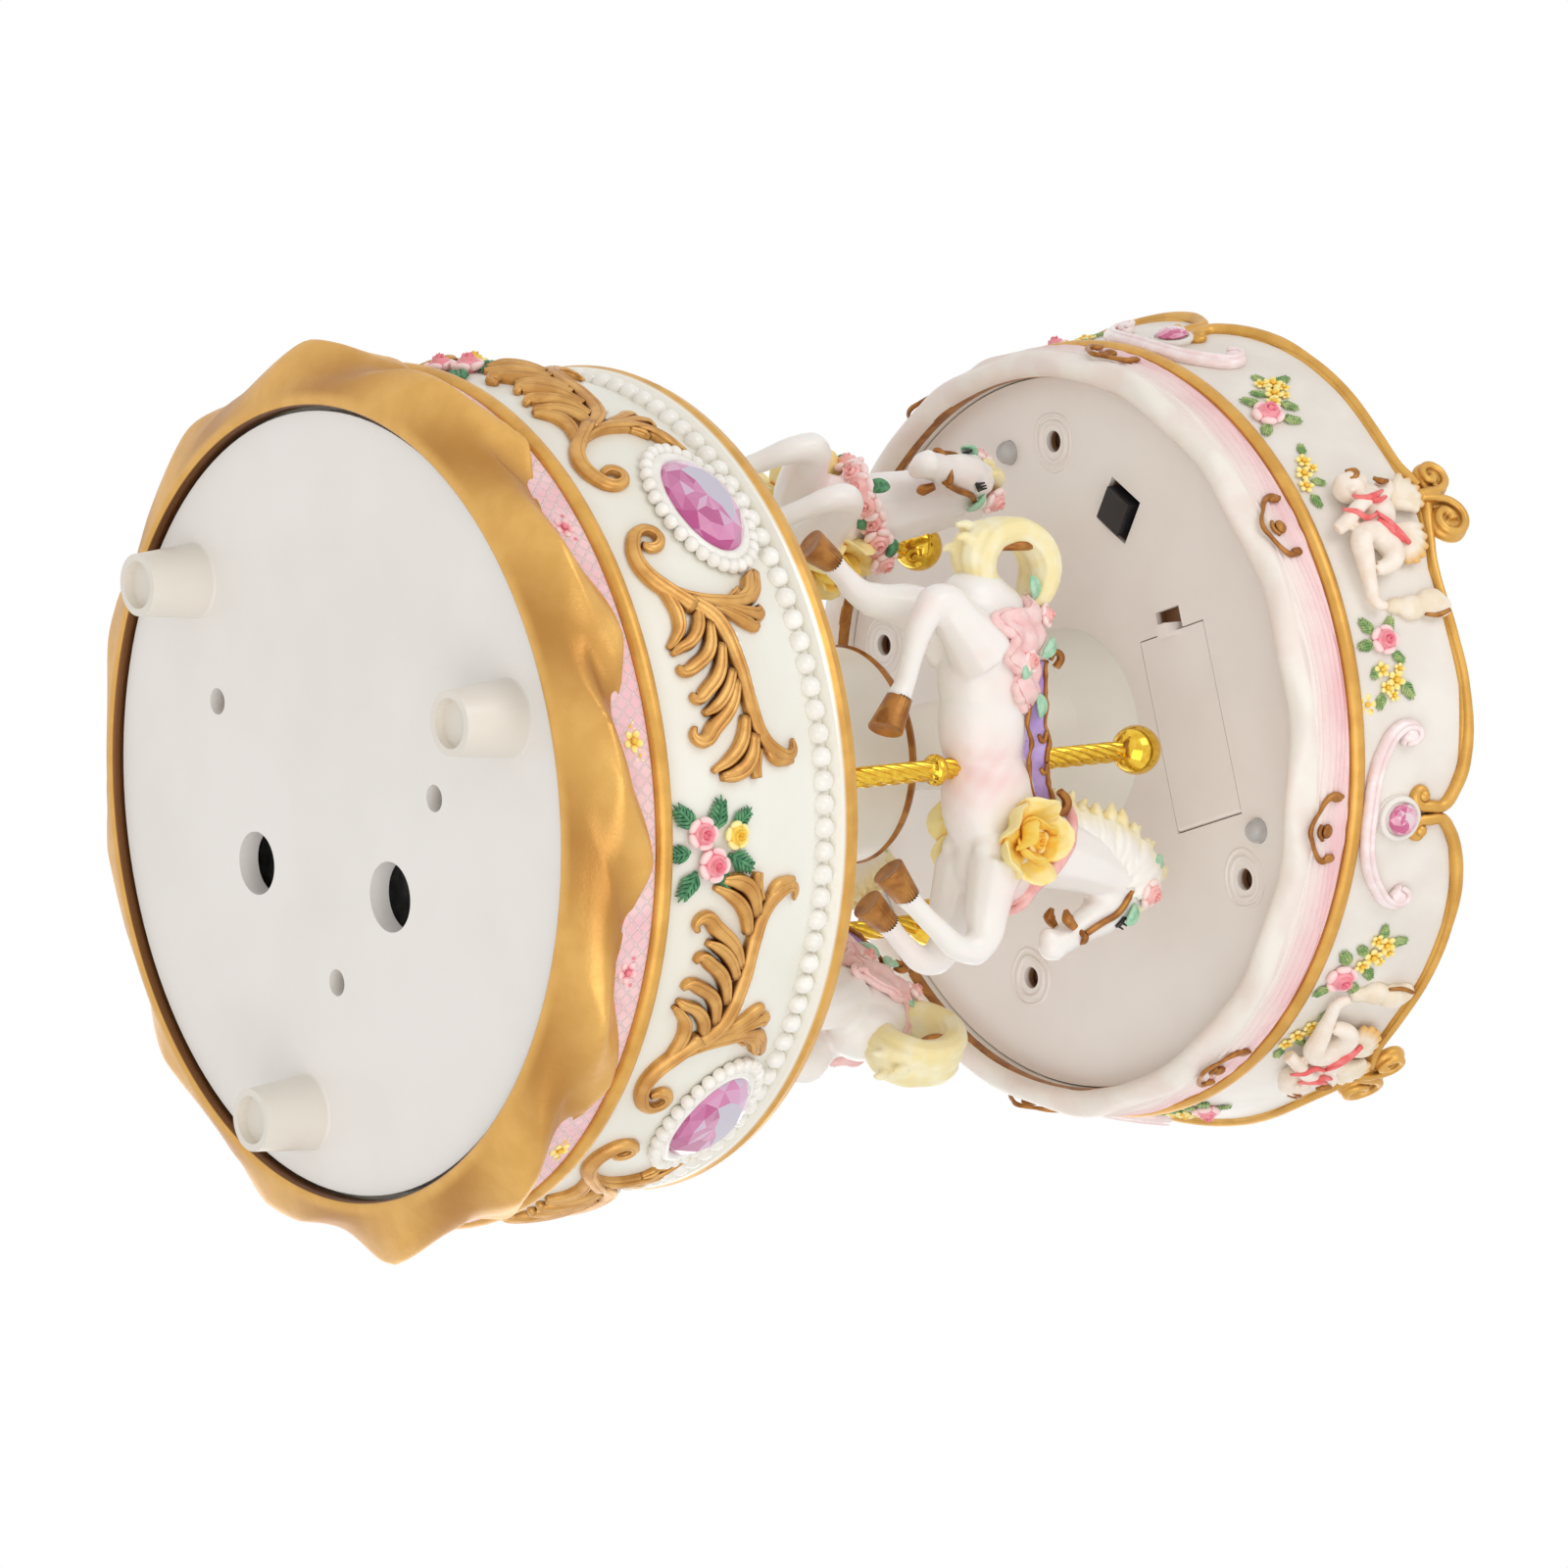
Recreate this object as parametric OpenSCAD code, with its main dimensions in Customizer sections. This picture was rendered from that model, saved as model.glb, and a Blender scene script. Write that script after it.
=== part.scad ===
// Carousel music box: a drum base with a wind-up movement, a turning deck with
// three horses on twisted brass poles, and a lit canopy with a battery box.
// Millimetres, +Z up the turning axis, origin on that axis under the feet.

/* [Base] */
// thickness of the base plate
plate_t = 2.6; // [2.2:0.1:2.6]
// height of the three feet
foot_h = 8; // [6:0.5:12]
// radius of a foot where it meets the plate
foot_root_r = 4.45; // [4:0.05:5]
// radius of a foot at its end
foot_end_r = 3.65; // [3.3:0.05:3.9]
// distance of a foot's centre from the base plate's edge
foot_inset = 7.9; // [6:0.1:10]
// height of the drum from the plate to the gilt rim's top
drum_h = 39.1; // [39:0.1:46]
// radius of the drum wall over the bead
drum_r = 48.1; // [48:0.1:48.4]
// how far the drum wall swells at its middle
drum_swell = 1.2; // [0.6:0.1:1.5]
// how much the drum wall draws in at the top
drum_taper = 1; // [0.6:0.1:1.3]
// how far the folded foot skirt stands out from the drum, on average
skirt_out = 3.65; // [3.1:0.05:4.4]
// depth of the skirt's folds
skirt_fold = 1.3; // [0.6:0.1:1.8]
// number of folds round the skirt
skirt_folds = 12; // [8:4:16]
// how far the gilt rim stands out from the drum
rim_out = 0.4; // [0.1:0.1:0.7]
// number of pearls under the rim
pearl_count = 112; // [96:4:116]
// radius of a rim pearl
pearl_r = 1.22; // [1.1:0.02:1.25]
// width of an oval gem round the drum
gem_w = 14; // [12:0.5:15]
// height of an oval gem
gem_h = 10; // [8:0.5:10.5]

/* [Carousel] */
// thickness of the turning deck
deck_t = 2.2; // [1.8:0.1:2.6]
// gap between the deck and the rim
deck_gap = 0.4; // [0.35:0.05:0.8]
// radius of the hub under the column
hub_r = 13; // [11:0.5:15]
// height of the hub above the deck
hub_h = 36; // [32:0.5:38]
// radius of the circle the poles stand on
pole_circle_r = 27; // [26:0.5:28]
// radius of a pole
pole_r = 1.25; // [1.1:0.05:1.3]
// radius of the ball on a pole
ball_r = 3; // [2.4:0.1:3.4]
// height of the ball's centre above the feet
ball_z = 105.1; // [104.5:0.1:106]

/* [Canopy] */
// height of the canopy plate's underside above the feet
canopy_z = 117.6; // [117:0.1:120]
// radius of the canopy's shell under the crown
canopy_r = 47.5; // [47:0.1:48]
// thickness of the canopy plate
canopy_plate_t = 2.4; // [2.4:0.1:2.8]
// height of the crown's crest above the canopy plate
crest_h = 20.6; // [18:0.2:22]
// how far the crown flares out up to its crest
crest_out = 2.9; // [2:0.1:3.5]
// rise of the roof above the bead
roof_h = 27; // [22:0.5:32]
// length of the battery door
door_l = 24; // [22:0.5:24.5]
// width of the battery door
door_w = 12.3; // [12.2:0.1:13]
// side of the square light button
button_side = 4.4; // [3.6:0.1:4.8]
// travel of the light button
button_travel = 0.8; // [0.4:0.1:1]

/* [Movement] */
// radius of the tune cylinder
tune_r = 4.8; // [4.4:0.1:5]
// length of the tune cylinder
tune_l = 21; // [18:0.5:21]
// radius of the spring barrel
barrel_r = 8.5; // [7.5:0.1:8.5]
// radius of the output spindle
spindle_r = 1.5; // [1.3:0.05:1.6]
// number of comb teeth
comb_teeth = 18; // [16:1:22]

/* [Hidden] */
$fn = 48;
plate_z = foot_h;
plate_top = plate_z + plate_t;
ledge_z = plate_top;
rim_top = plate_z + drum_h;
rim_z = rim_top - 4;
wall_z0 = plate_z + 11.6;
wall_z1 = plate_z + 33;
shell_in = drum_r - 4.5;
plate_r = drum_r - 3.2;
groove_r = drum_r - 2.4;
band_in = drum_r - 0.9;
skirt_r = drum_r + skirt_out;
rim_r = drum_r + rim_out;
foot_circle_r = plate_r - foot_inset;
gem_z = plate_z + 27;
rose_z = plate_z + 17;
bead_z = plate_z + 10.4;
bead_r = 1.1;
deck_top = rim_top - 0.3;
deck_bot = deck_top - deck_t;
deck_r = shell_in - deck_gap;
hub_top = deck_top + hub_h;
pole_a0 = -87.2;
gem_a0 = -130;
rose_a0 = -83;
notch_a0 = -78;
canopy_top = canopy_z + canopy_plate_t;
canopy_bead_z = canopy_z + 4.5;
crown_z = canopy_bead_z + 0.8;
crest_z = canopy_z + crest_h;
spray_z = canopy_z + 9.4;
stone_z = canopy_z + 11.6;
canopy_plate_r = canopy_r - 3.5;
shell_r = canopy_r - 1.3;
crest_r = canopy_r + crest_out;
roof_r = canopy_r - 2.3;
screw_share = canopy_plate_r / 44;
screw_pts = [for (p = [[-36, 0], [17.9, -30.9], [30.7, 10.8], [-11.4, 36.3]]) p * screw_share];
led_angles = [-70.5, 47.5, 166];
move_pts = [[-12, 23.1], [-0.7, -20.2], [20.5, 1.9]];
bed_z = plate_top + 3;
bed_t = 2;
axle_z = bed_z + bed_t + 10.4;
gear_pitch = 2.0944;
crown_n = 24;
pinion_n = 20;
barrel_n = 28;
pinion_pr = pinion_n * gear_pitch / (2 * PI);
crown_pr = crown_n * gear_pitch / (2 * PI);
barrel_pr = barrel_n * gear_pitch / (2 * PI);
barrel_y = pinion_pr + barrel_pr;
gear_face_z = axle_z + pinion_pr;
worm_x = 14.5;
worm_y = pinion_pr + 2.3;
bridge_z = gear_face_z + 5;
fit = 0.05;
door_c = [-0.5, -22.6];
door_a = -12;
door_t = 1.2;
led_to_door = 13.4;
led_circle_r = led_to_door - door_c[1];
cell_r = 5.8;
cell_t = 5.4;
button_c = [-27.1, -11.6];
button_a = 34;

// wave of the foot skirt at angle a
function skirt_wave(a) = cos(skirt_folds * (a - 24)) + 0.25 * cos(4 * a + 40);
// top edge of the foot skirt at angle a
function skirt_top(a) = plate_z + 6.6 + 1.5 * cos(skirt_folds * (a - 37)) + 0.4 * cos(7 * a);
// radius of the drum wall at height z
function wall_r(z) = let (t = (z - wall_z0) / (wall_z1 - wall_z0))
    drum_r + drum_swell * sin(180 * t) - drum_taper * t * t;
// how far the wall leans back at height z, in degrees
function wall_lean(z) = atan((wall_r(z - 3) - wall_r(z + 3)) / 6);
// angle from the nearest of four points a quarter turn apart
function quarter(a, a0) = let (d = a - a0) d - 90 * round(d / 90);
// height of the crown's crest at angle a
function crest(a) = let (d = abs(quarter(a, notch_a0)))
    crest_z - 5.4 * exp(-pow(d / 3.2, 2)) + 1.1 * sin(d * 4.6) - 0.9 * exp(-pow((d - 33) / 5, 2));
// radius of the crown's outside at height z
function crown_r(z) = canopy_r + crest_out * (z - crown_z) / (crest_z - crown_z);
// wave of the canopy's hem at angle a
function hem_wave(a) = cos(16 * a + 20) + 0.5 * cos(7 * a);

// closed ring of m-point sections, each point given by f(angle, k) as [radius, height]
module ring_skin(n, m, f) {
    points = [for (i = [0:n - 1]) for (k = [0:m - 1])
        let (a = 360 * i / n, p = f(a, k)) [p[0] * cos(a), p[0] * sin(a), p[1]]];
    faces = [for (i = [0:n - 1]) for (k = [0:m - 1])
        let (j = (i + 1) % n, l = (k + 1) % m)
        each [[i * m + k, i * m + l, j * m + l], [i * m + k, j * m + l, j * m + k]]];
    polyhedron(points, faces, convexity = 8);
}

// puts children on a wall at angle a: x runs round, y runs up, z points outward
module on_wall(a, r, z) {
    rotate([0, 0, a]) translate([r, 0, z]) rotate([90, 0, 90]) children();
}

// puts children at pole k: x points the way the horse runs, y points inward
module at_pole(k) {
    rotate([0, 0, pole_a0 + 120 * k]) translate([pole_circle_r, 0, 0]) rotate([0, 0, 90])
        children();
}

// chain of rounded links through points [x, y, z, radius]
module chain(pts, sides = 8) {
    for (i = [0:len(pts) - 2]) hull() {
        translate([pts[i][0], pts[i][1], pts[i][2]]) sphere(pts[i][3], $fn = sides);
        translate([pts[i + 1][0], pts[i + 1][1], pts[i + 1][2]]) sphere(pts[i + 1][3], $fn = sides);
    }
}

// spur gear with its axis along X, n teeth, pitch radius pr, tooth half depth h
module gear_x(n, pr, w, phase, h = 0.45) {
    rotate([0, 90, 0]) linear_extrude(w, center = true) {
        circle(pr - h - 0.15);
        for (i = [0:n - 1]) rotate(phase + 360 * i / n)
            polygon([[pr - h - 0.5, -0.5], [pr + h, -0.3], [pr + h, 0.3], [pr - h - 0.5, 0.5]]);
    }
}

// ---- base ----

module base_shell() {
    color([0.95, 0.93, 0.87]) rotate_extrude($fn = 96) polygon(concat(
        [[groove_r, plate_z + 0.6], [band_in, plate_z + 0.6], [band_in, plate_z + 9.2],
         [drum_r, plate_z + 9.2]],
        [for (i = [0:8]) let (z = wall_z0 + (wall_z1 - wall_z0) * i / 8) [wall_r(z), z]],
        [[wall_r(wall_z1) - 0.2, rim_z], [shell_in, rim_z], [shell_in, ledge_z],
         [groove_r, ledge_z]]));
}

module foot_skirt() {
    color([0.75, 0.53, 0.2]) ring_skin(96, 5, function (a, k)
        k == 0 ? [skirt_r - 1 + skirt_fold * skirt_wave(a), plate_z + 0.4]
        : k == 1 ? [skirt_r + skirt_fold * skirt_wave(a), plate_z + 2.4]
        : k == 2 ? [drum_r + 1.8 + 0.35 * skirt_wave(a + 6), skirt_top(a)]
        : k == 3 ? [band_in, skirt_top(a)]
        : [band_in, plate_z + 0.6]);
}

module pink_band() {
    color([0.95, 0.78, 0.78]) ring_skin(96, 4, function (a, k)
        k == 0 ? [drum_r + 1.1, skirt_top(a)]
        : k == 1 ? [drum_r + 0.9, plate_z + 9.2]
        : k == 2 ? [band_in, plate_z + 9.2]
        : [band_in, skirt_top(a)]);
}

module lower_bead() {
    color([0.75, 0.53, 0.2]) rotate_extrude($fn = 96) difference() {
        translate([drum_r + 0.8, bead_z]) circle(bead_r);
        translate([drum_r - 5, bead_z - 5]) square([5, 10]);
    }
}

module upper_rim() {
    color([0.75, 0.53, 0.2]) rotate_extrude($fn = 96) polygon([[shell_in, rim_z],
        [rim_r - 1.4, rim_z], [rim_r - 0.3, rim_z + 0.8], [rim_r, rim_z + 2], [rim_r - 0.4, rim_z + 3.1],
        [rim_r - 1.6, rim_top], [shell_in + 0.4, rim_top], [shell_in, rim_top - 0.4]]);
}

module pearl_row() {
    color([0.96, 0.94, 0.9]) for (i = [0:pearl_count - 1]) rotate([0, 0, 360 * i / pearl_count])
        translate([wall_r(wall_z1) + 0.4, 0, wall_z1 + 1]) sphere(pearl_r, $fn = 16);
}

module drum_gems() {
    color([0.85, 0.42, 0.66]) for (q = [0:3]) on_wall(gem_a0 + 90 * q, wall_r(gem_z) + 0.3, gem_z)
        rotate([-wall_lean(gem_z), 0, 0]) hull() {
        linear_extrude(0.8) polygon([for (i = [0:23])
            [gem_w / 2 * cos(15 * i), gem_h / 2 * sin(15 * i)]]);
        linear_extrude(1.8) polygon([for (i = [0:23])
            [gem_w / 3.4 * cos(15 * i), gem_h / 3.4 * sin(15 * i)]]);
    }
}

module gem_surrounds() {
    color([0.96, 0.94, 0.9]) for (q = [0:3]) on_wall(gem_a0 + 90 * q, wall_r(gem_z) - 0.9, gem_z)
        rotate([-wall_lean(gem_z), 0, 0]) {
        linear_extrude(1.2) polygon([for (i = [0:35])
            [(gem_w / 2 + 2.4) * cos(10 * i), (gem_h / 2 + 2.2) * sin(10 * i)]]);
        for (i = [0:27]) translate([(gem_w / 2 + 1.3) * cos(i * 90 / 7),
            (gem_h / 2 + 1.2) * sin(i * 90 / 7), 1.4]) sphere(0.85, $fn = 16);
    }
}

// one leafy scroll beside a gem; side is 1 or -1, s runs away from the gem
module drum_scroll(side) {
    function at(s, z, up, r) = let (w = side * s / wall_r(z) * 180 / PI, q = wall_r(z) + up)
        [q * cos(w), q * sin(w), z, r];
    chain([at(9.5, 24.2, 0, 0.8), at(8.3, 25.6, 0.2, 0.8), at(9.6, 27, 0.2, 0.9), at(12.5, 26, 0.2, 1),
           at(16, 27, 0.3, 1.6), at(20, 31, 0.4, 2), at(23.5, 34.5, 0.3, 1.8), at(27, 39, 0.2, 1),
           at(29.5, 41, 0.1, 0.7)], 6);
    chain([at(15, 28, 0.3, 1.2), at(15.6, 32, 0.3, 1.2), at(14.2, 35.5, 0.1, 0.7)], 6);
    chain([at(20, 31, 0.2, 1.1), at(24, 30, 0, 0.7)], 6);
    chain([at(23.5, 34.5, 0.2, 1.1), at(28.5, 33.5, 0, 0.7)], 6);
    chain([at(18.5, 33, 0.1, 1.1), at(19.5, 37.5, 0, 0.7)], 6);
}

module drum_scrolls() {
    color([0.72, 0.48, 0.2]) for (q = [0:3]) for (side = [-1, 1])
        rotate([0, 0, gem_a0 + 90 * q]) drum_scroll(side);
}

module drum_roses() {
    color([0.93, 0.6, 0.66]) for (q = [0:3]) {
        on_wall(rose_a0 + 90 * q, wall_r(rose_z) + 0.3, rose_z) {
            translate([-1.4, -1.5, 0]) sphere(2, $fn = 24);
            translate([2.2, 0, 0]) sphere(1.9, $fn = 24);
            translate([-1, 2.6, 0]) sphere(1.7, $fn = 24);
            for (p = [[-4.2, -1], [-3.2, 2.4], [2.6, -3.4], [4.6, 1.2], [1.5, 4.6], [0.8, -4.2]])
                translate([p[0], p[1], -0.5]) sphere(1, $fn = 16);
        }
    }
}

module base_plate() {
    color([0.9, 0.88, 0.85]) difference() {
        union() {
            translate([0, 0, plate_z]) cylinder(h = plate_t, r = plate_r, $fn = 96);
            for (a = [135, 15, -105]) rotate([0, 0, a]) translate([foot_circle_r, 0, 0])
                cylinder(h = foot_h + 0.2, r1 = foot_end_r, r2 = foot_root_r);
            for (p = move_pts) translate([p[0], p[1], plate_top - 0.2])
                cylinder(h = bed_z - plate_top + 0.2, r = 3.2);
        }
        for (a = [135, 15, -105]) rotate([0, 0, a]) translate([foot_circle_r, 0, -1])
            cylinder(h = 2.2, r = foot_end_r - 0.85);
        for (p = move_pts) translate([p[0], p[1], plate_z - 1]) {
            cylinder(h = 4.4, r = 1.55);
            cylinder(h = 12, r = 0.85);
        }
        translate([6.9, 17, plate_z - 1]) cylinder(h = 5, r = 3.7);
        translate([10.5, -10.1, plate_z - 1]) cylinder(h = 5, r = 4.05);
    }
}

module movement_screws() {
    color([0.75, 0.75, 0.76]) for (p = move_pts) translate([p[0], p[1], 0]) difference() {
        union() {
            translate([0, 0, plate_z + 2.2]) cylinder(h = 1.2, r = 1.5);
            translate([0, 0, plate_z + 3]) cylinder(h = bed_z + bed_t - plate_z - 3, r = 0.8);
        }
        translate([-1, -0.15, plate_z + 2]) cube([2, 0.3, 0.6]);
        translate([-0.15, -1, plate_z + 2]) cube([0.3, 2, 0.6]);
    }
}

// ---- movement ----

module bedplate() {
    color([0.68, 0.66, 0.6]) difference() {
        translate([0, 0, bed_z]) linear_extrude(bed_t) difference() {
            translate([-24, -24]) square([48, 50.5]);
            for (x = [-24, 24]) for (y = [-24, 26.5]) translate([x, y]) circle(3);
            translate([6.9, 17]) circle(3.7);
        }
        for (p = move_pts) translate([p[0], p[1], bed_z - 1]) cylinder(h = 5, r = 0.8 + fit);
        for (x = [-17, 2]) translate([x, -21.5, bed_z - 1]) cylinder(h = 5, r = 0.8 + fit);
    }
    color([0.68, 0.66, 0.6]) translate([-20, -23, bed_z + bed_t]) difference() {
        cube([24, 4, axle_z - 0.6 - bed_z - bed_t]);
        for (x = [3, 22]) translate([x, 1.5, -1]) cylinder(h = 20, r = 0.8 + fit);
    }
}

module bridge() {
    color([0.74, 0.73, 0.68]) difference() {
        union() {
            for (x = [-23.5, 18.2]) translate([x, -5, bed_z + bed_t])
                cube([1.6, barrel_y + 15, bridge_z + 1.6 - bed_z - bed_t]);
            translate([-23.5, -5, bridge_z]) cube([43.3, 10, 1.6]);
        }
        translate([0, 0, bridge_z - 1]) cylinder(h = 4, r = spindle_r + fit);
        translate([-30, 0, axle_z]) rotate([0, 90, 0]) cylinder(h = 60, r = 0.9 + fit);
        translate([-30, barrel_y, axle_z]) rotate([0, 90, 0]) cylinder(h = 60, r = 1.3 + fit);
        for (x = [-30, 10]) translate([x, 8, axle_z + 11]) cube([20, 40, 20]);
    }
}

module comb() {
    pitch = (tune_l - 3) / comb_teeth;
    color([0.8, 0.81, 0.83]) difference() {
        translate([-20, -23, axle_z - 0.6]) union() {
            cube([24, 6.5, 0.9]);
            for (i = [0:comb_teeth - 1]) translate([2.8 + i * pitch, 6, 0])
                cube([pitch - 0.35, 17 - tune_r - 0.45, 0.9]);
        }
        for (x = [-17, 2]) translate([x, -21.5, axle_z - 2]) cylinder(h = 5, r = 0.8 + fit);
    }
}

module comb_screws() {
    color([0.62, 0.62, 0.64]) for (x = [-17, 2]) translate([x, -21.5, 0]) difference() {
        union() {
            translate([0, 0, bed_z]) cylinder(h = axle_z + 0.3 - bed_z, r = 0.8);
            translate([0, 0, axle_z + 0.3]) cylinder(h = 1.2, r = 1.5);
        }
        translate([-2, -0.2, axle_z + 0.9]) cube([4, 0.4, 1]);
    }
}

module tune_cylinder() {
    color([0.83, 0.69, 0.4]) translate([0, 0, axle_z]) {
        translate([-18.7, 0, 0]) rotate([0, 90, 0]) cylinder(h = tune_l, r = tune_r);
        translate([-23.5, 0, 0]) rotate([0, 90, 0]) cylinder(h = 43.3, r = 0.9);
        for (i = [0:comb_teeth - 1]) for (j = [0:2])
            translate([-18.7 + 1.9 + i * (tune_l - 3) / comb_teeth, 0, 0])
            rotate([i * 47 + j * 118 + 20, 0, 0]) translate([-0.2, -0.2, tune_r - 0.3]) cube([0.4, 0.4, 0.65]);
        translate([-20.6, 0, 0]) gear_x(pinion_n, pinion_pr, 1.4, 0);
        translate([crown_pr, 0, 0]) gear_x(pinion_n, pinion_pr, 1.6, 0);
        translate([worm_x, 0, 0]) gear_x(pinion_n, pinion_pr, 1.6, 9);
    }
}

module spring_barrel() {
    color([0.8, 0.66, 0.36]) translate([0, barrel_y, axle_z]) {
        translate([-19, 0, 0]) rotate([0, 90, 0]) cylinder(h = 20, r = barrel_r);
        translate([-23.5, 0, 0]) rotate([0, 90, 0]) cylinder(h = 43.3, r = 1.3);
        translate([-20.6, 0, 0]) gear_x(barrel_n, barrel_pr, 1.4, 180 / barrel_n);
    }
}

module governor() {
    color([0.5, 0.5, 0.52]) translate([worm_x, -worm_y, 0]) {
        translate([0, 0, bed_z + bed_t + 0.1]) cylinder(h = gear_face_z + 4 - bed_z - bed_t, r = 0.6);
        translate([0, 0, axle_z - 3.4]) cylinder(h = 6.8, r = 1.5);
        translate([-4.6, -0.25, bed_z + bed_t + 0.6]) cube([9.2, 0.5, 3]);
    }
}

module governor_bracket() {
    color([0.74, 0.73, 0.68]) difference() {
        union() {
            translate([19.8, -13, bed_z + bed_t]) cube([1.4, 7.4, gear_face_z + 4.4 - bed_z - bed_t]);
            translate([12, -13, gear_face_z + 3]) cube([9.2, 7.4, 1.4]);
        }
        translate([worm_x, -worm_y, 0]) cylinder(h = 60, r = 0.6 + fit);
    }
}

// ---- carousel ----

module spindle() {
    color([0.8, 0.8, 0.82]) {
        translate([0, 0, gear_face_z - 0.2]) cylinder(h = deck_top + 9 - gear_face_z, r = spindle_r);
        translate([0, 0, gear_face_z + 0.6]) cylinder(h = 2.4, r = crown_pr + 1.2);
        translate([0, 0, gear_face_z + 3]) cylinder(h = 1.6, r = 3);
        for (i = [0:crown_n - 1]) rotate([0, 0, 360 * (i + 0.5) / crown_n])
            translate([crown_pr - 1.1, -0.3, gear_face_z - 0.45]) cube([2.2, 0.6, 1.2]);
    }
}

module deck() {
    color([0.93, 0.91, 0.86]) difference() {
        translate([0, 0, deck_bot]) cylinder(h = deck_t, r = deck_r, $fn = 96);
        translate([0, 0, deck_bot - 1]) cylinder(h = 5, r = spindle_r);
    }
}

module hub() {
    color([0.9, 0.88, 0.85]) difference() {
        rotate_extrude() polygon([[0, deck_top], [hub_r - 0.6, deck_top], [hub_r, deck_top + 2],
            [hub_r, hub_top - 1.2], [0, hub_top - 1.2]]);
        translate([0, 0, deck_top - 1]) cylinder(h = hub_h - 3, r = hub_r - 2);
    }
    color([0.9, 0.88, 0.85]) difference() {
        translate([0, 0, deck_top]) cylinder(h = hub_h - 3, r = 4);
        translate([0, 0, deck_top - 1]) cylinder(h = 11, r = spindle_r);
    }
}

module hub_trim() {
    color([0.6, 0.42, 0.2]) translate([0, 0, hub_top - 1.2]) rotate_extrude() polygon([[0, 0],
        [hub_r, 0], [hub_r + 0.25, 0.6], [hub_r - 0.1, 1.2], [0, 1.2]]);
}

module column() {
    color([0.94, 0.92, 0.85]) rotate_extrude() polygon([[0, hub_top], [8.5, hub_top],
        [9, hub_top + 1.2], [7, hub_top + 2.4], [5.6, hub_top + 5], [5.2, hub_top + 10],
        [5.6, hub_top + 16], [7, hub_top + 22], [9.4, canopy_z - 6.5], [11.4, canopy_z - 3],
        [12.5, canopy_z - 0.8], [12.9, canopy_z], [0, canopy_z]]);
}

module poles() {
    color([0.9, 0.72, 0.2]) for (k = [0:2]) at_pole(k)
        translate([0, 0, deck_top]) cylinder(h = ball_z - ball_r + 0.2 - deck_top, r = pole_r);
}

module pole_balls() {
    color([0.9, 0.72, 0.2]) for (k = [0:2]) at_pole(k) {
        translate([0, 0, ball_z]) sphere(ball_r);
        translate([0, 0, ball_z - ball_r - 0.6]) difference() {
            cylinder(h = 1.2, r = 1.9);
            translate([0, 0, -1]) cylinder(h = 3, r = pole_r);
        }
        translate([0, 0, 73.6]) difference() {
            cylinder(h = 1.6, r = 2);
            translate([0, 0, -1]) cylinder(h = 4, r = pole_r);
        }
    }
}

module horse_body() {
    difference() {
        union() {
            chain([[11, 0, 83, 5.6], [4, 0, 82, 6], [-6, 0, 81.6, 5.6], [-16, 0, 82, 6.2],
                   [-19, 0, 80.5, 5]], 12);
            chain([[10, 0, 86, 5], [11.5, 0, 95, 3.8], [14.5, 0, 103.6, 3], [18, 0, 102, 3]], 10);
            chain([[18, 0, 102, 3.1], [20.6, 0, 96, 2.3], [22.4, 0, 91.2, 1.9]], 10);
            chain([[15, -1.6, 104.6, 0.9], [15.4, -1.8, 107, 0.5]], 6);
            chain([[15, 1.6, 104.6, 0.9], [15.4, 1.8, 107, 0.5]], 6);
            chain([[12, -3.4, 80, 3.3], [20.6, -4, 77, 2.3], [21, -4, 74, 2], [14.2, -4, 66.4, 1.5]], 8);
            chain([[12, 3.4, 80, 3.3], [22.4, 4, 77.6, 2.3], [22.6, 4, 75, 2], [18, 4, 69.6, 1.5]], 8);
            chain([[-14, -3.2, 79, 4], [-20, -4, 72.8, 2.4], [-18, -4, 70.6, 1.8], [-9.6, -4, 66.2, 1.5]], 8);
            chain([[-17, 3.2, 78, 4], [-19.6, 4, 70.5, 2.3], [-20.6, 4, 67.4, 1.8], [-25.2, 4, 62.6, 1.5]], 8);
        }
        translate([0, 0, 60]) cylinder(h = 40, r = pole_r + 0.15, $fn = 16);
    }
}

module horse_1() {
    color([0.95, 0.93, 0.9]) at_pole(0) horse_body();
}

module horse_2() {
    color([0.95, 0.93, 0.9]) at_pole(1) horse_body();
}

module horse_3() {
    color([0.95, 0.93, 0.9]) at_pole(2) horse_body();
}

module manes() {
    color([0.94, 0.9, 0.68]) for (k = [0:2]) at_pole(k) {
        chain([[6.2, 0, 93, 2.2], [7.6, 0, 100, 2.6], [10.6, 0, 105.6, 2.4], [15, 0, 107, 1.6]], 8);
        chain([[-22.6, 0, 82.6, 1.8], [-26, 0, 79.6, 2.2], [-26.6, 0, 84, 2.6], [-24.4, 0, 88.4, 2.6],
               [-20, 0, 89.6, 2]], 8);
    }
}

module saddles() {
    color([0.72, 0.6, 0.82]) for (k = [0:2]) at_pole(k) difference() {
        union() {
            hull() {
                translate([-7.5, 0, 87.4]) rotate([90, 0, 0]) cylinder(h = 8, r = 1.5, center = true, $fn = 12);
                translate([3, 0, 88.2]) rotate([90, 0, 0]) cylinder(h = 7, r = 1.3, center = true, $fn = 12);
            }
        }
        translate([0, 0, 60]) cylinder(h = 40, r = pole_r + 0.15, $fn = 16);
    }
}

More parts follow.
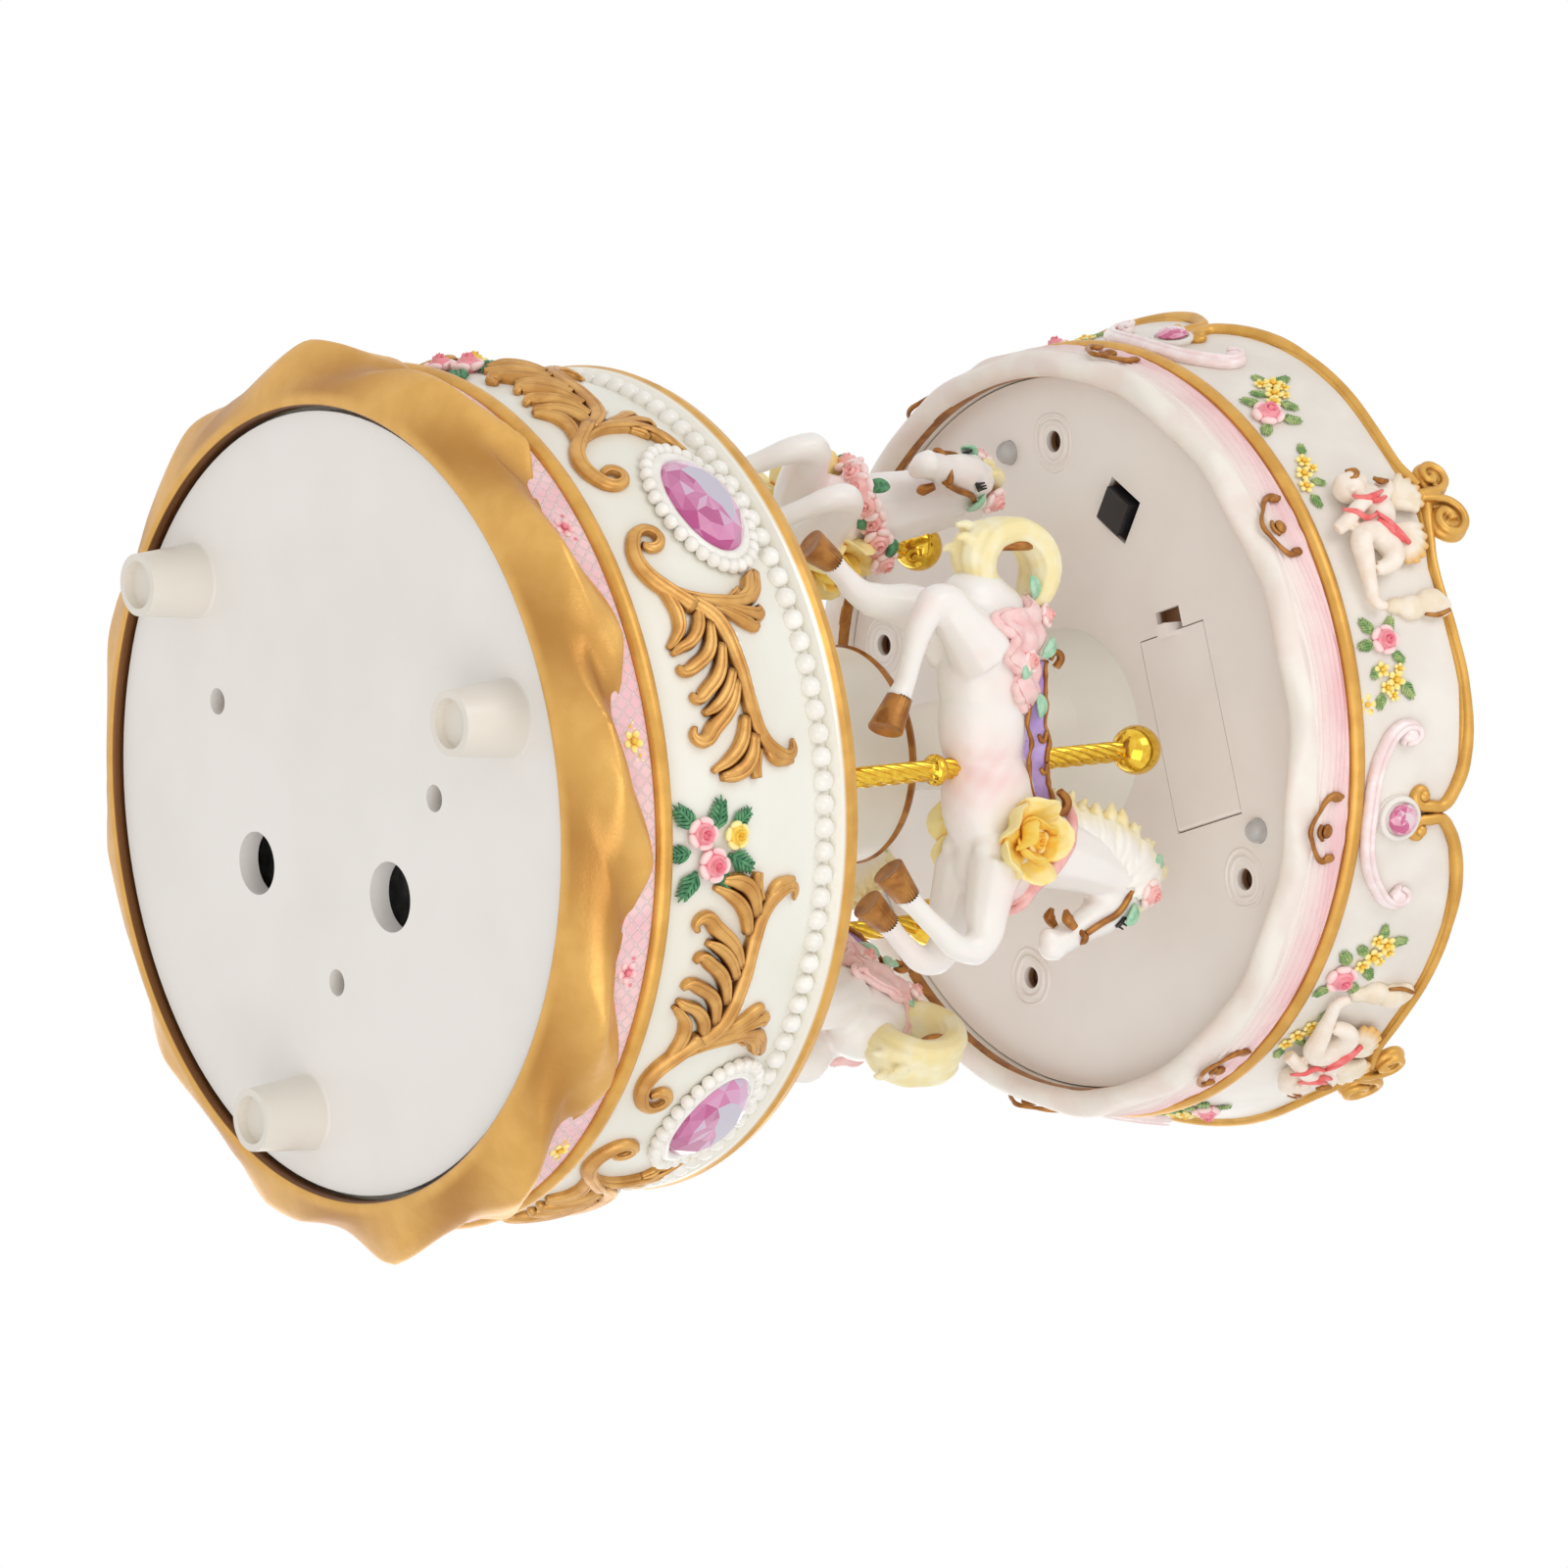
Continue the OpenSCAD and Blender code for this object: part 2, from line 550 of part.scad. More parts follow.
module garlands() {
    color([0.94, 0.72, 0.74]) for (k = [0:2]) at_pole(k) {
        for (i = [-4:4]) let (u = i * 20) translate([15.6 - 0.06 * abs(u), 5.4 * sin(u), 87.4 - 3.6 * cos(u)])
            sphere(1.5, $fn = 16);
        for (i = [-3:3]) let (u = i * 28) translate([-17.5, 6.2 * sin(u), 82.2 + 6.4 * cos(u)])
            sphere(1.5, $fn = 16);
        translate([7.4, -5.4, 85]) sphere(2.8, $fn = 24);
    }
}

module hooves() {
    color([0.65, 0.4, 0.16]) for (k = [0:2]) at_pole(k) {
        chain([[13, -4, 65.4, 1.8], [11, -4, 63.8, 2]], 8);
        chain([[17.2, 4, 68.6, 1.8], [15.8, 4, 66.8, 2]], 8);
        chain([[-8.4, -4, 65.4, 1.8], [-6.2, -4, 64, 2]], 8);
        chain([[-26, 4, 61.8, 1.8], [-27, 4, 60, 2]], 8);
    }
}

// ---- canopy ----

module canopy_plate() {
    color([0.88, 0.84, 0.82]) difference() {
        union() {
            translate([0, 0, canopy_z]) cylinder(h = canopy_plate_t, r = canopy_plate_r, $fn = 96);
            translate([door_c[0], door_c[1], canopy_top]) rotate([0, 0, door_a])
                translate([-door_l / 2 - 1.4, -door_w / 2 - 1, -0.2]) cube([door_l + 2.8, door_w + 2, 12.6]);
            for (p = screw_pts) translate([p[0], p[1], canopy_top - 0.2]) cylinder(h = 3.2, r = 3);
        }
        translate([door_c[0], door_c[1], 0]) rotate([0, 0, door_a]) {
            translate([-door_l / 2, -door_w / 2, canopy_z - 1]) cube([door_l, door_w, 1 + door_t]);
            translate([-door_l / 2 + 0.8, -door_w / 2 + 0.2, canopy_z]) cube([door_l - 1.6, door_w - 0.4, 13.4]);
            translate([-door_l / 2 - 2.7, -2.2, canopy_z - 1]) cube([2.9, 4.4, 1 + door_t + 0.4]);
        }
        for (p = screw_pts) translate([p[0], p[1], canopy_z - 1]) {
            cylinder(h = 3.6, r = 1.35);
            cylinder(h = 10, r = 0.8 + fit);
        }
        for (a = led_angles) rotate([0, 0, a]) translate([led_circle_r, 0, canopy_z - 1]) cylinder(h = 5, r = 1.5 + fit);
        translate([button_c[0], button_c[1], canopy_z - 1]) rotate([0, 0, button_a])
            translate([-3, -3, 0]) cube([6, 6, 5]);
    }
}

module canopy_screws() {
    color([0.75, 0.75, 0.76]) for (p = screw_pts) translate([p[0], p[1], 0]) difference() {
        union() {
            translate([0, 0, canopy_z + 1.4]) cylinder(h = 1.2, r = 1.3);
            translate([0, 0, canopy_z + 2]) cylinder(h = 8, r = 0.8);
        }
        translate([-1, -0.15, canopy_z + 1.2]) cube([2, 0.3, 0.6]);
    }
}

module canopy_shell() {
    color([0.95, 0.93, 0.87]) rotate_extrude($fn = 96) polygon([
        [canopy_plate_r + 0.2, canopy_z - 1.8], [shell_r, canopy_z - 1.8], [shell_r, canopy_bead_z - 1],
        [shell_r + 0.4, canopy_bead_z - 1], [shell_r + 0.4, crown_z], [canopy_plate_r - 1, crown_z],
        [canopy_plate_r - 1, canopy_top], [canopy_plate_r + 0.2, canopy_top]]);
}

module hem() {
    color([0.95, 0.92, 0.86]) ring_skin(128, 5, function (a, k)
        k == 0 ? [shell_r - 1 + 0.3 * hem_wave(a), canopy_z - 4 + 0.5 * hem_wave(a)]
        : k == 1 ? [shell_r + 0.8 + 0.5 * hem_wave(a), canopy_z - 3.7 + 0.5 * hem_wave(a)]
        : k == 2 ? [shell_r + 1.1 + 0.4 * hem_wave(a), canopy_z - 1.6]
        : k == 3 ? [shell_r, canopy_z - 1.8]
        : [canopy_plate_r + 0.2, canopy_z - 1.8]);
}

module drape() {
    color([0.95, 0.8, 0.8]) ring_skin(128, 4, function (a, k)
        k == 0 ? [shell_r + 1.1 + 0.4 * hem_wave(a), canopy_z - 1.6]
        : k == 1 ? [shell_r + 1.4, canopy_bead_z - 1]
        : k == 2 ? [shell_r, canopy_bead_z - 1]
        : [shell_r, canopy_z - 1.6]);
}

module canopy_bead() {
    color([0.75, 0.53, 0.2]) rotate_extrude($fn = 96) difference() {
        translate([shell_r + 1, canopy_bead_z]) circle(1.1);
        translate([shell_r - 5, canopy_bead_z - 5]) square([5.4, 10]);
        translate([shell_r - 5, canopy_bead_z + 0.8]) square([12, 5]);
        translate([shell_r - 5, canopy_bead_z - 6]) square([12, 5]);
    }
}

module crown() {
    color([0.95, 0.93, 0.88]) ring_skin(144, 4, function (a, k)
        k == 0 ? [canopy_r, crown_z]
        : k == 1 ? [crest_r, crest(a)]
        : k == 2 ? [crest_r - 2.2, crest(a)]
        : [roof_r, crown_z]);
}

module crest_edging() {
    color([0.78, 0.55, 0.2]) ring_skin(144, 6, function (a, k)
        [crest_r - 0.8 + 1.5 * cos(60 * k), crest(a) + (k == 0 || k == 3 ? 0.5 : k < 3 ? 1.3 : 0)]);
}

module volutes() {
    color([0.78, 0.55, 0.2]) for (q = [0:3]) rotate([0, 0, notch_a0 + 45 + 90 * q]) {
        for (d = [-2.3, 2.3]) rotate([0, 0, d]) translate([crest_r - 0.4, 0, crest_z + 4.2]) sphere(1.9, $fn = 24);
        hull() {
            translate([crest_r - 0.6, -2.4, crest_z + 0.6]) sphere(1.1, $fn = 10);
            translate([crest_r - 0.6, 2.4, crest_z + 0.6]) sphere(1.1, $fn = 10);
            translate([crest_r - 0.6, 0, crest_z + 3.6]) sphere(1, $fn = 10);
        }
        for (d = [40.6, 49.4]) rotate([0, 0, d]) translate([crest_r + 0.2, 0, crest_z - 3]) sphere(1.4, $fn = 24);
    }
}

module cherubs() {
    function at(out, y, up, r) = [crown_r(canopy_z + up) + out, y, canopy_z + up, r];
    color([0.95, 0.88, 0.8]) for (q = [0:3]) rotate([0, 0, notch_a0 + 45 + 90 * q]) {
        chain([at(1.4, -1, 11.9, 2.6), at(1.1, 0.6, 16.9, 2.2)], 10);
        chain([at(1, 1.2, 20.6, 2.3), at(1, 1.3, 21, 2.2)], 10);
        chain([at(1.5, -2, 10.4, 1.8), at(2.4, 3.4, 8.8, 1.5), at(2.3, 5, 6.2, 1.1)], 8);
        chain([at(0.8, 1, 17, 1.2), at(2, 5.4, 14.8, 0.9), at(0.8, 7, 17.4, 0.8)], 8);
        chain([at(0.3, -1.4, 17.4, 1.2), at(-0.2, -5.8, 20, 1.4), at(0, -7.4, 16.4, 0.9)], 8);
    }
}

module canopy_roses() {
    color([0.93, 0.6, 0.66]) for (q = [0:3]) for (s = [[-21, 0, 1], [22, 0, 1], [35, -2.5, 1]])
        on_wall(notch_a0 + 90 * q + s[0], crown_r(spray_z + s[1]) + 0.1, spray_z + s[1]) {
            translate([0, 0, 0.3]) sphere(1.7, $fn = 24);
            translate([2.6, 1.8, 0.3]) sphere(1.4, $fn = 16);
            translate([-2.4, -1.8, 0]) sphere(1.2, $fn = 16);
            translate([-2, 1.8, 0]) sphere(0.9, $fn = 16);
            translate([4.6, 3.4, 0.6]) sphere(1, $fn = 16);
        }
}

module canopy_gems() {
    color([0.9, 0.5, 0.7]) for (q = [0:3]) on_wall(notch_a0 + 90 * q, crown_r(stone_z) + 1.3, stone_z) hull() {
        cylinder(h = 0.8, r = 1.75, $fn = 12);
        cylinder(h = 1.5, r = 1.1, $fn = 12);
    }
}

module gem_settings() {
    color([0.95, 0.9, 0.88]) for (q = [0:3]) on_wall(notch_a0 + 90 * q, crown_r(stone_z) - 0.5, stone_z) {
        cylinder(h = 1.8, r = 2.7, $fn = 32);
        for (i = [0:11]) rotate([0, 0, 30 * i]) translate([2.1, 0, 1.9]) sphere(0.5, $fn = 14);
    }
}

module c_scrolls() {
    color([0.96, 0.86, 0.86]) for (q = [0:3]) rotate([0, 0, notch_a0 + 90 * q]) chain([
        for (i = [-5:5]) let (w = i * 2.1, z = canopy_z + 6.8 + 0.22 * i * i, r = crown_r(z) + 0.6)
            [r * cos(w), r * sin(w), z, abs(i) == 5 ? 1.1 : 0.75]], 8);
}

module drape_ornaments() {
    color([0.72, 0.48, 0.2]) for (q = [0:7]) rotate([0, 0, notch_a0 + 45 * q]) {
        chain([for (i = [0:6]) let (u = i * 50, w = 2.6 * cos(u), z = canopy_z + 0.7 + 1.7 * sin(u))
            [(shell_r + 1.1) * cos(w), (shell_r + 1.1) * sin(w), z, 0.5]], 5);
    }
}

module roof() {
    color([0.95, 0.93, 0.88]) difference() {
        union() {
            rotate_extrude($fn = 96) polygon(concat(
                [for (i = [0:12]) [roof_r * cos(i * 7.5), crown_z + roof_h * sin(i * 7.5)]],
                [for (i = [12:-1:0]) [(roof_r - 2) * cos(i * 7.5), crown_z + (roof_h - 2) * sin(i * 7.5)]]));
            intersection() {
                for (p = screw_pts) translate([p[0], p[1], canopy_top + 3]) cylinder(h = 40, r = 3);
                rotate_extrude($fn = 96) polygon(concat([[0, crown_z - 5], [roof_r - 1.7, crown_z - 5]],
                    [for (i = [0:12]) [(roof_r - 1.2) * cos(i * 7.5), crown_z + (roof_h - 1) * sin(i * 7.5)]]));
            }
        }
        for (p = screw_pts) translate([p[0], p[1], canopy_top + 1]) cylinder(h = 10, r = 0.8 + fit);
    }
}

module finial() {
    color([0.78, 0.55, 0.2]) translate([0, 0, crown_z + roof_h - 0.6]) rotate_extrude() polygon([
        [0, 0], [5, 0], [5.4, 0.8], [4, 1.8], [2, 2.6], [1.8, 3.8], [3.2, 5], [3.8, 6.8],
        [3.2, 8.6], [1.6, 9.8], [1, 11.4], [0, 12.6]]);
}

module leds() {
    color([0.9, 0.92, 0.95]) for (a = led_angles) rotate([0, 0, a]) translate([led_circle_r, 0, 0]) {
        translate([0, 0, canopy_z - 0.2]) sphere(1.5, $fn = 24);
        translate([0, 0, canopy_z - 0.2]) cylinder(h = 4, r = 1.5, $fn = 24);
        translate([0, 0, canopy_top]) cylinder(h = 1, r = 1.7, $fn = 24);
    }
}

module circuit_board() {
    color([0.15, 0.4, 0.2]) translate([-20, 12, canopy_top]) cube([24, 16, 1.2]);
}

module cells() {
    color([0.75, 0.75, 0.76]) translate([door_c[0], door_c[1], canopy_z + door_t + 0.3 + cell_r])
        rotate([0, 0, door_a]) for (i = [-1:1]) translate([i * (cell_t + 0.02) - cell_t / 2, 0, 0])
            rotate([0, 90, 0]) cylinder(h = cell_t, r = cell_r);
}

module battery_contacts() {
    wall = door_l / 2 - 0.8;
    tip = 1.5 * cell_t + 0.1;
    color([0.8, 0.78, 0.7]) translate([door_c[0], door_c[1], canopy_z + door_t + 1.2]) rotate([0, 0, door_a])
        for (x = [0, 1]) mirror([x, 0, 0]) rotate([90, 0, 0]) linear_extrude(8, center = true)
            polygon([[wall, 0], [wall - 0.4, 0], [tip, 4.6], [wall - 0.4, 9.2], [wall, 9.2], [tip + 0.5, 4.6]]);
}

module battery_door() {
    color([0.88, 0.84, 0.82]) translate([door_c[0], door_c[1], canopy_z]) rotate([0, 0, door_a]) {
        translate([-door_l / 2 + 0.15, -door_w / 2 + 0.15, 0]) cube([door_l - 0.85, door_w - 0.3, door_t - 0.1]);
        translate([door_l / 2 - 0.7, 0, (door_t - 0.1) / 2]) rotate([90, 0, 0])
            cylinder(h = door_w - 0.3, r = (door_t - 0.1) / 2, center = true);
        translate([-door_l / 2 - 0.9, -0.9, -1.6]) cube([1.6, 1.8, 1.6 + door_t - 0.1]);
    }
}

module light_button() {
    color([0.08, 0.08, 0.08]) translate([button_c[0], button_c[1], canopy_z - 1]) rotate([0, 0, button_a])
        translate([-button_side / 2, -button_side / 2, 0]) cube([button_side, button_side, 5.2]);
}

module switch_body() {
    color([0.1, 0.1, 0.1]) translate([button_c[0], button_c[1], canopy_top]) rotate([0, 0, button_a])
        difference() {
            translate([-4, -4, 0]) cube([8, 8, 7]);
            translate([-button_side / 2 - 0.2, -button_side / 2 - 0.2, -1])
                cube([button_side + 0.4, button_side + 0.4, 1 + 4.2 - canopy_plate_t + button_travel + 0.4]);
        }
}

base_shell();
foot_skirt();
pink_band();
lower_bead();
upper_rim();
pearl_row();
drum_gems();
gem_surrounds();
drum_scrolls();
drum_roses();
base_plate();
movement_screws();
bedplate();
bridge();
comb();
comb_screws();
tune_cylinder();
spring_barrel();
governor();
governor_bracket();
spindle();
deck();
hub();
hub_trim();
column();
poles();
pole_balls();
horse_1();
horse_2();
horse_3();
manes();
saddles();
garlands();
hooves();
canopy_plate();
canopy_screws();
canopy_shell();
hem();
drape();
canopy_bead();
crown();
crest_edging();
volutes();
cherubs();
canopy_roses();
canopy_gems();
gem_settings();
c_scrolls();
drape_ornaments();
roof();
finial();
leds();
circuit_board();
cells();
battery_contacts();
battery_door();
light_button();
switch_body();
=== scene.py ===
# %% [markdown]
# # A carousel music box, dressed for its portrait
# The object is a cast-resin carousel about 16 cm tall. A drum with gilt trim holds the
# movement, three horses ride on twisted brass poles, and a lit canopy carries a scrolled crown.
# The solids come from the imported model. This file gives them finishes, and replaces the
# carved ones with detailed pieces that are modelled step by step.
# Every length below is written in millimetres, because makers think in them, and one
# constant turns them into Blender's metres.

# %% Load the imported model
import math
import random

import bpy
from mathutils import Matrix, Vector


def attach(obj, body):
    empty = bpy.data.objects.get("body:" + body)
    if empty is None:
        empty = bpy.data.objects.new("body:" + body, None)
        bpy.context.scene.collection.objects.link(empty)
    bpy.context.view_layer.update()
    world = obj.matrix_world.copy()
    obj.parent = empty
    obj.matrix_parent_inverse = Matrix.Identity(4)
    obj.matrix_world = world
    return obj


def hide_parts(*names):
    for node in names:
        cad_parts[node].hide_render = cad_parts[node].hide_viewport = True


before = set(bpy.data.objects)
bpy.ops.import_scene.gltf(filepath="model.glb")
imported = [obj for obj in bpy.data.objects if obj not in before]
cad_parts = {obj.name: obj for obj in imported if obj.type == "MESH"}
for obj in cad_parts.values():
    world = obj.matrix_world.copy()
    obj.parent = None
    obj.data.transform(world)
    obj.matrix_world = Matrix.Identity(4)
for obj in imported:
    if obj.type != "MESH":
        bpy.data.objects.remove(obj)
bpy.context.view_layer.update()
MM = 0.001

# %% [markdown]
# ## Sizes that the solids share
# The drum, the deck and the canopy are all turned about one upright axis. So most places are
# easiest to say as an angle round that axis, a height above the feet, and a distance out.
# The wall of the drum swells in the middle and the crown flares out, so each has a small
# function that gives its radius at a height.

# %% Radii and repeating angles
WALL_FOOT, WALL_HEAD = 19.6, 41.0
DRUM_R, DRUM_SWELL, DRUM_TAPER = 48.1, 1.2, 1.0
CROWN_FOOT, CROWN_HEAD = 122.9, 138.2
CANOPY_R, CREST_R = 47.5, 50.4
# the radius at which a flat ornament keeps its width when it is wrapped round the axis
ROUND_R = 48.5
GEM_ANGLES = [-129 + 90 * q for q in range(4)]
ROSE_ANGLES = [-83 + 90 * q for q in range(4)]
NOTCH_ANGLES = [-77.2 + 90 * q for q in range(4)]
POLE_ANGLES = [-87.2 + 120 * k for k in range(3)]
POLE_CIRCLE, DECK_TOP = 27, 46.8
# heights of the drum's stones, its pearls, the balls on the poles and the canopy's plate
STONE_Z, PEARL_Z, BALL_Z, PLATE_Z = 34.8, 42, 105.1, 117.6
# radii where flowers lie on the lattice band and strokes lie on the drape
BAND_R, DRAPE_R = 49.0, 47.55


def wall_radius(z):
    """Radius of the drum's wall at a height."""
    t = (z - WALL_FOOT) / (WALL_HEAD - WALL_FOOT)
    return DRUM_R + DRUM_SWELL * math.sin(math.pi * t) - DRUM_TAPER * t * t


def crown_radius(z):
    """Radius of the crown's outside at a height."""
    return CANOPY_R + (CREST_R - CANOPY_R) * (z - CROWN_FOOT) / (CROWN_HEAD - CROWN_FOOT)


print("drum", round(wall_radius(30), 1), "mm, crown", round(crown_radius(135), 1), "mm in radius")

# %% [markdown]
# ## Small helpers for modelling
# Blender's operators act on whatever is selected, so the first helper selects exactly what the
# next operator should touch. The others are the moves used again and again: apply modifiers,
# tidy a mesh, join parts, and move each point by a rule.

# %% Helpers for meshes
def only(*objects):
    """Selects these objects and nothing else, in object mode."""
    if bpy.context.mode != "OBJECT":
        bpy.ops.object.mode_set(mode="OBJECT")
    bpy.ops.object.select_all(action="DESELECT")
    for item in objects:
        item.select_set(True)
    bpy.context.view_layer.objects.active = objects[0]


def settle(item, name=None):
    """Puts an object's place into its mesh, so that the object sits at the origin."""
    only(item)
    bpy.ops.object.transform_apply(location=True, rotation=True, scale=True)
    if name:
        item.name = name
        item.data.name = name
    return item


def joined(parts, name):
    """Makes one piece of several."""
    only(*parts)
    if len(parts) > 1:
        bpy.ops.object.join()
    return settle(bpy.context.object, name)


def weld(item, gap=0.004):
    """Merges doubled points and turns every face outwards."""
    only(item)
    bpy.ops.object.mode_set(mode="EDIT")
    bpy.ops.mesh.select_all(action="SELECT")
    bpy.ops.mesh.remove_doubles(threshold=gap * MM)
    bpy.ops.mesh.normals_make_consistent(inside=False)
    bpy.ops.object.mode_set(mode="OBJECT")
    return item


def soft(item, degrees=50):
    """Shades a piece smooth, but keeps edges that are sharper than an angle."""
    only(item)
    bpy.ops.object.shade_smooth_by_angle(angle=math.radians(degrees))
    return item


def move_points(item, rule):
    """Moves each point of a mesh by a rule that takes and gives millimetres."""
    for point in item.data.vertices:
        point.co = Vector(rule(*(point.co / MM))) * MM
    item.data.update()
    return item


def twin(item):
    """A copy with its own mesh."""
    only(item)
    bpy.ops.object.duplicate(linked=False)
    return bpy.context.object


def discard(*items):
    """Removes patterns that were only modelled to be copied."""
    for item in items:
        bpy.data.objects.remove(item)


def fused(item, voxel, rounds=3):
    """Melts overlapping lumps into one skin, then eases it."""
    skin = item.modifiers.new("skin", "REMESH")
    skin.mode, skin.voxel_size, skin.use_smooth_shade = "VOXEL", voxel * MM, True
    ease = item.modifiers.new("ease", "SMOOTH")
    ease.factor, ease.iterations = 0.5, rounds
    only(item)
    for name in ("skin", "ease"):
        bpy.ops.object.modifier_apply(modifier=name)
    return item


# %% [markdown]
# ## Primitives that this object needs
# Carved ornament is mostly two things: round lumps, and rods that bend and taper. A lump is a
# sphere added at its place and size. A rod is a curve with a round section, because a curve
# keeps each bend smooth and has a radius at each point, and it is then made a mesh. A long
# ring with a changing section, such as the folded skirt, starts as a flat grid that is rolled up.

# %% Lumps, rods and rolled rings
def lump(centre, size, turn=(0, 0, 0), detail=2):
    """A round lump: its centre and its half sizes in millimetres, and its turn in degrees."""
    if isinstance(size, (int, float)):
        size = (size,) * 3
    bpy.ops.mesh.primitive_ico_sphere_add(
        subdivisions=detail, radius=MM, location=Vector(centre) * MM,
        rotation=[math.radians(t) for t in turn], scale=size)
    return bpy.context.object


def rods(paths, name="rods", sides=2, steps=5, closed=False):
    """Bent, tapering rods, each a list of (x, y, z, radius), as one mesh."""
    bpy.ops.curve.primitive_bezier_curve_add()
    item = bpy.context.object
    shape = item.data
    shape.splines.clear()
    shape.dimensions, shape.resolution_u = "3D", steps
    shape.bevel_depth, shape.bevel_resolution = MM, sides
    shape.use_fill_caps = True
    for path in paths:
        line = shape.splines.new("BEZIER")
        line.bezier_points.add(len(path) - 1)
        line.use_cyclic_u = closed
        for place, knot in zip(path, line.bezier_points):
            knot.co, knot.radius = Vector(place[:3]) * MM, place[3]
            knot.handle_left_type = knot.handle_right_type = "AUTO"
    only(item)
    bpy.ops.object.convert(target="MESH")
    return settle(bpy.context.object, name)


def rolled_ring(name, section, around, across):
    """A ring whose section(angle, share) gives (radius, height); share 0 and 1 are one place."""
    bpy.ops.mesh.primitive_grid_add(x_subdivisions=around, y_subdivisions=across, size=MM)
    item = settle(bpy.context.object, name)

    def roll(x, y, z):
        angle = 360 * (x + 0.5)
        radius, height = section(angle, min(1, max(0, y + 0.5)))
        return (radius * math.cos(math.radians(angle)), radius * math.sin(math.radians(angle)), height)

    return weld(move_points(item, roll))


def along(points, share):
    """A place on a smooth line through points, with share from 0 to 1."""
    last = len(points) - 1
    span = min(last - 1, int(share * last))
    t = share * last - span
    a, b = points[max(0, span - 1)], points[span]
    c, d = points[span + 1], points[min(last, span + 2)]
    return [0.5 * (2 * q + (r - p) * t + (2 * p - 5 * q + 4 * r - s) * t * t
                   + (3 * q - p - 3 * r + s) * t ** 3) for p, q, r, s in zip(a, b, c, d)]


def laid_on(item, angle, radius, name, mirrored=False):
    """A copy of a flat ornament, wrapped on a wall: x runs round, y runs up, z stands out."""
    side = -1 if mirrored else 1

    def wrap(x, y, z):
        turn = math.radians(angle) + side * x / ROUND_R
        reach = radius(y) + z
        return reach * math.cos(turn), reach * math.sin(turn), y

    copy = move_points(twin(item), wrap)
    copy.name = name
    return weld(copy)


def wrapped(flat, name, radius, angles, mirrored_angles=()):
    """One piece of a flat ornament's copies, laid as drawn at some angles and mirrored at others."""
    copies = [laid_on(flat, angle, radius, name) for angle in angles]
    copies += [laid_on(flat, angle, radius, name, True) for angle in mirrored_angles]
    discard(flat)
    return joined(copies, name)


def mark(item, name, rule):
    """Stores a number from 0 to 1 at each point, for a finish to read."""
    values = item.data.attributes.new(name, "FLOAT", "POINT").data
    for point, value in zip(item.data.vertices, values):
        value.value = min(1, max(0, rule(*(point.co / MM))))
    return item


def on_axis(item, angle, name):
    """A copy turned about the upright axis."""
    copy = twin(item)
    copy.matrix_world = Matrix.Rotation(math.radians(angle), 4, "Z")
    return settle(copy, name)


print("helpers are ready")
# %% [markdown]
# ## Finishes
# Each finish starts from what the real one is. Its colours are ordinary web colours, turned to
# the linear values that a renderer needs. Nodes are added by one small function, and patterns
# read Object coordinates, so that they stay on the piece in any pose.

# %% Colours and nodes
def colour(code):
    """A web colour such as 'E8C27A' as linear red, green, blue and alpha."""
    parts = [int(code[i:i + 2], 16) / 255 for i in (0, 2, 4)]
    return [p / 12.92 if p <= 0.04045 else ((p + 0.055) / 1.055) ** 2.4 for p in parts] + [1]


def add(tree, kind, feeds=None, **settings):
    """Adds a node, gives it its settings, and sets or links its inputs."""
    node = tree.nodes.new(kind)
    for key, value in settings.items():
        setattr(node, key, value)
    for key, value in (feeds or {}).items():
        if isinstance(value, bpy.types.NodeSocket):
            tree.links.new(value, node.inputs[key])
        else:
            node.inputs[key].default_value = value
    return node


def tones(tree, factor, stops, smooth=True):
    """A ramp through colours: stops are (place, web colour)."""
    ramp = add(tree, "ShaderNodeValToRGB", {"Fac": factor})
    band = ramp.color_ramp
    band.interpolation = "EASE" if smooth else "LINEAR"
    while len(band.elements) < len(stops):
        band.elements.new(0.5)
    for element, (place, code) in zip(band.elements, stops):
        element.position, element.color = place, colour(code)
    return ramp.outputs["Color"]


def start(name, metallic=0.0, **shine):
    """A new material, its node tree, its shader and its Object coordinates."""
    material = bpy.data.materials.new(name)
    material.use_nodes = True
    tree = material.node_tree
    shader = tree.nodes["Principled BSDF"]
    shader.inputs["Metallic"].default_value = metallic
    for key, value in shine.items():
        shader.inputs[key.replace("_", " ")].default_value = value
    place = add(tree, "ShaderNodeTexCoord").outputs["Object"]
    return material, tree, shader, place


def speckle(tree, place, size, detail=2.0, rough=0.5):
    """Cloudy noise whose patches are about size millimetres across."""
    return add(tree, "ShaderNodeTexNoise", {
        "Vector": place, "Scale": 1 / (size * MM), "Detail": detail, "Roughness": rough}).outputs["Fac"]


def hollows(tree, reach):
    """How open each place is, from 0 deep in a hollow to 1 on a ridge, within reach millimetres."""
    return add(tree, "ShaderNodeAmbientOcclusion", {"Distance": reach * MM},
               samples=6, only_local=True).outputs["AO"]


def relief(tree, shader, height, depth):
    """Small bumps of a depth in millimetres."""
    bump = add(tree, "ShaderNodeBump", {"Height": height, "Distance": depth * MM, "Strength": 1.0})
    tree.links.new(bump.outputs["Normal"], shader.inputs["Normal"])


def sheen_range(tree, shader, factor, low, high):
    """Lets the roughness drift between two values."""
    drift = add(tree, "ShaderNodeMapRange", {"Value": factor, "To Min": low, "To Max": high})
    tree.links.new(drift.outputs["Result"], shader.inputs["Roughness"])


